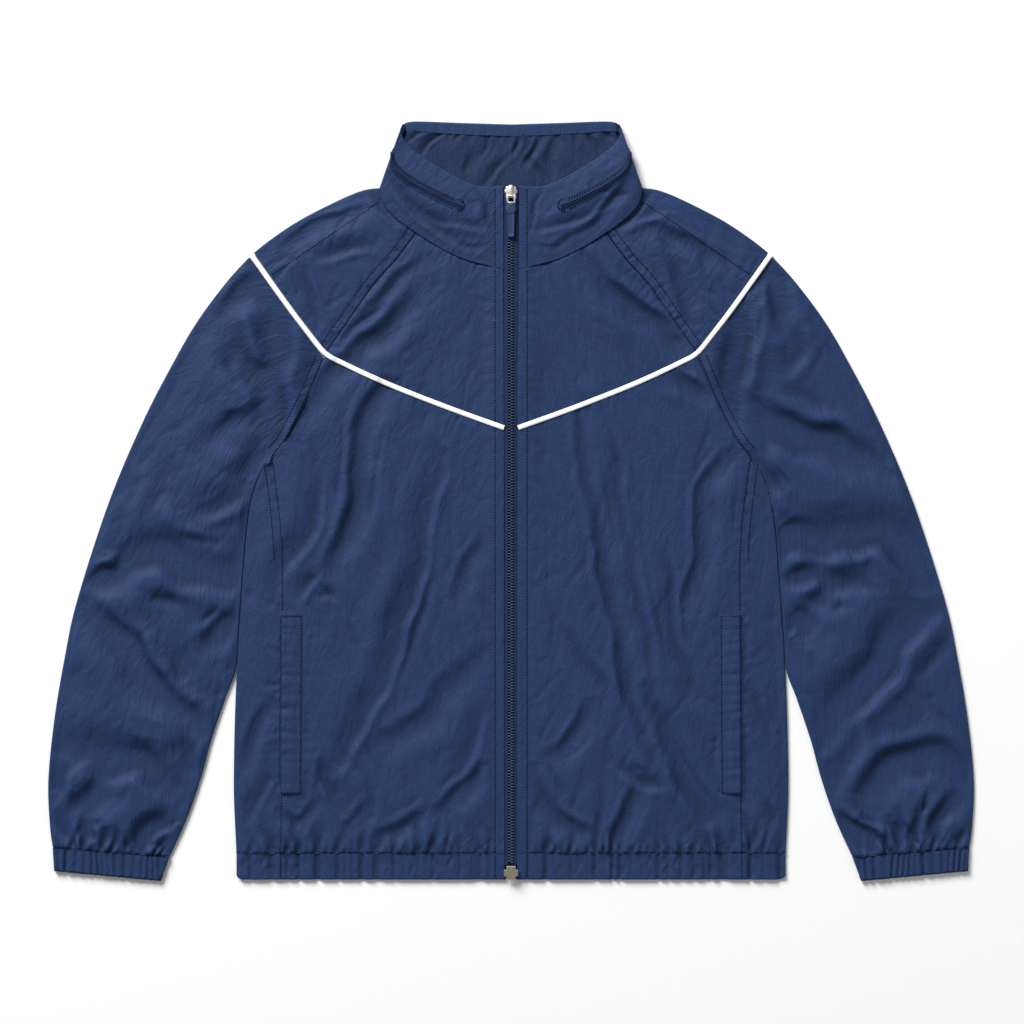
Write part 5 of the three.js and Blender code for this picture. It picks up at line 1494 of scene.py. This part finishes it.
class WindbreakerCloth(bpy.types.PropertyGroup):
    """How the cloth is laid and creased."""
    spacing: FloatProperty(name="Spacing", description="Distance between the points of the cloth",
                           default=0.00197, min=0.001, unit="LENGTH")
    thickness: FloatProperty(name="Thickness", description="Thickness of the shell's cloth",
                             default=0.0004, min=0.0001, unit="LENGTH")
    crease_width: FloatProperty(name="Crease width", description="Creases beside the tables' widths",
                                default=1.15, min=0.1, subtype="FACTOR")
    crease_depth: FloatProperty(name="Crease depth", description="Creases beside the tables' depths",
                                default=2.5, min=0.0, subtype="FACTOR")
    seam_depth: FloatProperty(name="Seam depth", description="How deep the seams lie in the cloth",
                              default=0.0006, min=0.0, unit="LENGTH")
    pucker_depth: FloatProperty(name="Pucker depth", description="Depth of the puckers at a seam",
                                default=0.0006, min=0.0, unit="LENGTH")


class WindbreakerSewing(bpy.types.PropertyGroup):
    """The stitches."""
    pitch: FloatProperty(name="Pitch", description="From one stitch to the next", default=0.0028,
                         unit="LENGTH")
    length: FloatProperty(name="Length", description="Length of thread that shows in a stitch",
                          default=0.0019, unit="LENGTH")
    width: FloatProperty(name="Width", description="Width of the thread", default=0.0013,
                         unit="LENGTH")


class WindbreakerZip(bpy.types.PropertyGroup):
    """The main zip."""
    pitch: FloatProperty(name="Pitch", description="From one tooth to the next on a side",
                         default=0.0029, unit="LENGTH")
    tooth: FloatProperty(name="Tooth", description="Width of a tooth along the zip",
                         default=0.0011, unit="LENGTH")


class WindbreakerStage(bpy.types.PropertyGroup):
    """The camera and the studio light."""
    lens: FloatProperty(name="Lens", description="Focal length, in millimetres", default=85.0)
    seen: FloatProperty(name="Seen", description="Width of the floor that the picture shows",
                        default=1.024, unit="LENGTH")
    centre: FloatVectorProperty(name="Centre", description="Place in the middle of the picture",
                                size=2, default=(0.001, -0.011), unit="LENGTH")
    key: FloatProperty(name="Key light", description="Power of the large light", default=850.0)
    fill: FloatProperty(name="Fill light", description="Strength of the light from all round",
                        default=0.22)


class WINDBREAKER_OT_body(bpy.types.Operator):
    """Lays the fronts, yokes, side panels, back and hem band"""
    bl_idname = "windbreaker.body"
    bl_label = "Lay the body"

    def execute(self, context):
        shell = nylon("nylon_shell", "#1f355c", 0.68)
        for build in (front_lower, front_upper, yoke_front, yoke_back, side_panel, hem_front, hem_side):
            for side in (LEFT, RIGHT):
                build(side, shell)
        back(shell)
        hem_back(shell)
        return {"FINISHED"}


class WINDBREAKER_OT_sleeves(bpy.types.Operator):
    """Lays the sleeves and cuffs"""
    bl_idname = "windbreaker.sleeves"
    bl_label = "Lay the sleeves"

    def execute(self, context):
        shell = bpy.data.materials["nylon_shell"]
        for side in (LEFT, RIGHT):
            sleeve(side, shell)
            cuff(side, shell)
        return {"FINISHED"}


class WINDBREAKER_OT_collar(bpy.types.Operator):
    """Stands the collar's band, its facing and the hood's zip"""
    bl_idname = "windbreaker.collar"
    bl_label = "Lay the collar"

    def execute(self, context):
        collar(bpy.data.materials["nylon_shell"])
        collar_facing(nylon("nylon_facing", "#1a2c4e", 0.68))
        hood_zip(nylon("polyester_tape", "#182a4c", 0.8))
        return {"FINISHED"}


class WINDBREAKER_OT_trim(bpy.types.Operator):
    """Sews on the piping and the pocket welts"""
    bl_idname = "windbreaker.trim"
    bl_label = "Add the trim"

    def execute(self, context):
        white = white_piping()
        for side in (LEFT, RIGHT):
            pocket_welt(side, bpy.data.materials["nylon_shell"])
            chest, raglan = piping_lines()
            piping(f"trim_piping_front_{HANDS[side]}", side, chest, white)
            piping(f"trim_piping_sleeve_{HANDS[side]}", side, raglan, white, over_fold=True)
        return {"FINISHED"}


class WINDBREAKER_OT_zip(bpy.types.Operator):
    """Puts in the zip: tapes, teeth, box, slider and pull"""
    bl_idname = "windbreaker.zip"
    bl_label = "Put in the zip"

    def execute(self, context):
        for side in (LEFT, RIGHT):
            zip_tape(side, bpy.data.materials["polyester_tape"])
        teeth(acetal())
        grip(vinyl())
        chrome = chromed_zinc()
        slider(chrome)
        link(chrome)
        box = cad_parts["zip_box"]
        box.data.materials.clear()
        box.data.materials.append(nickelled_zinc())
        return {"FINISHED"}


class WINDBREAKER_OT_sewing(bpy.types.Operator):
    """Runs the rows of stitches"""
    bl_idname = "windbreaker.sewing"
    bl_label = "Sew"

    def execute(self, context):
        sewing(spun_thread())
        return {"FINISHED"}


class WINDBREAKER_OT_stage(bpy.types.Operator):
    """Sets up the floor, the lights and the camera"""
    bl_idname = "windbreaker.stage"
    bl_label = "Set the stage"

    def execute(self, context):
        stage = context.scene.windbreaker_stage
        centre = Vector((*stage.centre, 0))
        mesh = bpy.data.meshes.new("floor")
        bm = bmesh.new()
        bmesh.ops.create_grid(bm, x_segments=1, y_segments=1, size=14,
                              matrix=Matrix.Translation((0, 0, -0.0004)))
        bm.to_mesh(mesh)
        bm.free()
        floor = bpy.data.objects.new("floor", mesh)
        mesh.materials.append(paper_floor())
        context.scene.collection.objects.link(floor)
        camera = bpy.data.objects.new("camera", bpy.data.cameras.new("camera"))
        camera.data.lens = stage.lens
        camera.data.sensor_width = 36
        camera.location = centre + Vector((0, 0, 0.006 + stage.seen * stage.lens / 36))
        context.scene.collection.objects.link(camera)
        context.scene.camera = camera
        for name, place, size, power in (
                ("key", (-3.2, 5.3, 4.1), 3.4, stage.key),
                ("fill", (1.9, -0.9, 2.1), 2.2, stage.key * 0.012)):
            light = bpy.data.objects.new(name, bpy.data.lights.new(name, "AREA"))
            light.data.shape = "SQUARE"
            light.data.size = size
            light.data.energy = power
            light.location = centre + Vector(place)
            light.rotation_euler = (centre - light.location).to_track_quat("-Z", "Y").to_euler()
            context.scene.collection.objects.link(light)
        world = bpy.data.worlds.new("studio")
        world.use_nodes = True
        world.node_tree.nodes["Background"].inputs["Color"].default_value = (1, 1, 1, 1)
        world.node_tree.nodes["Background"].inputs["Strength"].default_value = stage.fill
        context.scene.world = world
        context.scene.view_settings.view_transform = "Standard"
        return {"FINISHED"}


class WINDBREAKER_PT_main(bpy.types.Panel):
    """Lists the steps and their sizes"""
    bl_idname = "WINDBREAKER_PT_main"
    bl_label = "Windbreaker"
    bl_space_type = "VIEW_3D"
    bl_region_type = "UI"
    bl_category = "Windbreaker"

    def draw(self, context):
        for name, kind in SETTINGS.items():
            box = self.layout.box()
            for setting in kind.__annotations__:
                box.prop(getattr(context.scene, name), setting)
        for kind in OPERATORS:
            self.layout.operator(kind.bl_idname)


OPERATORS = (WINDBREAKER_OT_body, WINDBREAKER_OT_sleeves, WINDBREAKER_OT_collar,
             WINDBREAKER_OT_trim, WINDBREAKER_OT_zip, WINDBREAKER_OT_sewing, WINDBREAKER_OT_stage)
SETTINGS = {"windbreaker_cloth": WindbreakerCloth, "windbreaker_sewing": WindbreakerSewing,
            "windbreaker_zip": WindbreakerZip, "windbreaker_stage": WindbreakerStage}
CLASSES = (*SETTINGS.values(), *OPERATORS, WINDBREAKER_PT_main)


def register():
    for kind in CLASSES:
        bpy.utils.register_class(kind)
    for name, kind in SETTINGS.items():
        setattr(bpy.types.Scene, name, PointerProperty(type=kind))


def unregister():
    for name in SETTINGS:
        delattr(bpy.types.Scene, name)
    for kind in reversed(CLASSES):
        bpy.utils.unregister_class(kind)


def main():
    register()
    fill_relief()
    for kind in OPERATORS:
        section, name = kind.bl_idname.split(".")
        getattr(getattr(bpy.ops, section), name)()


if __name__ == "__main__":
    main()
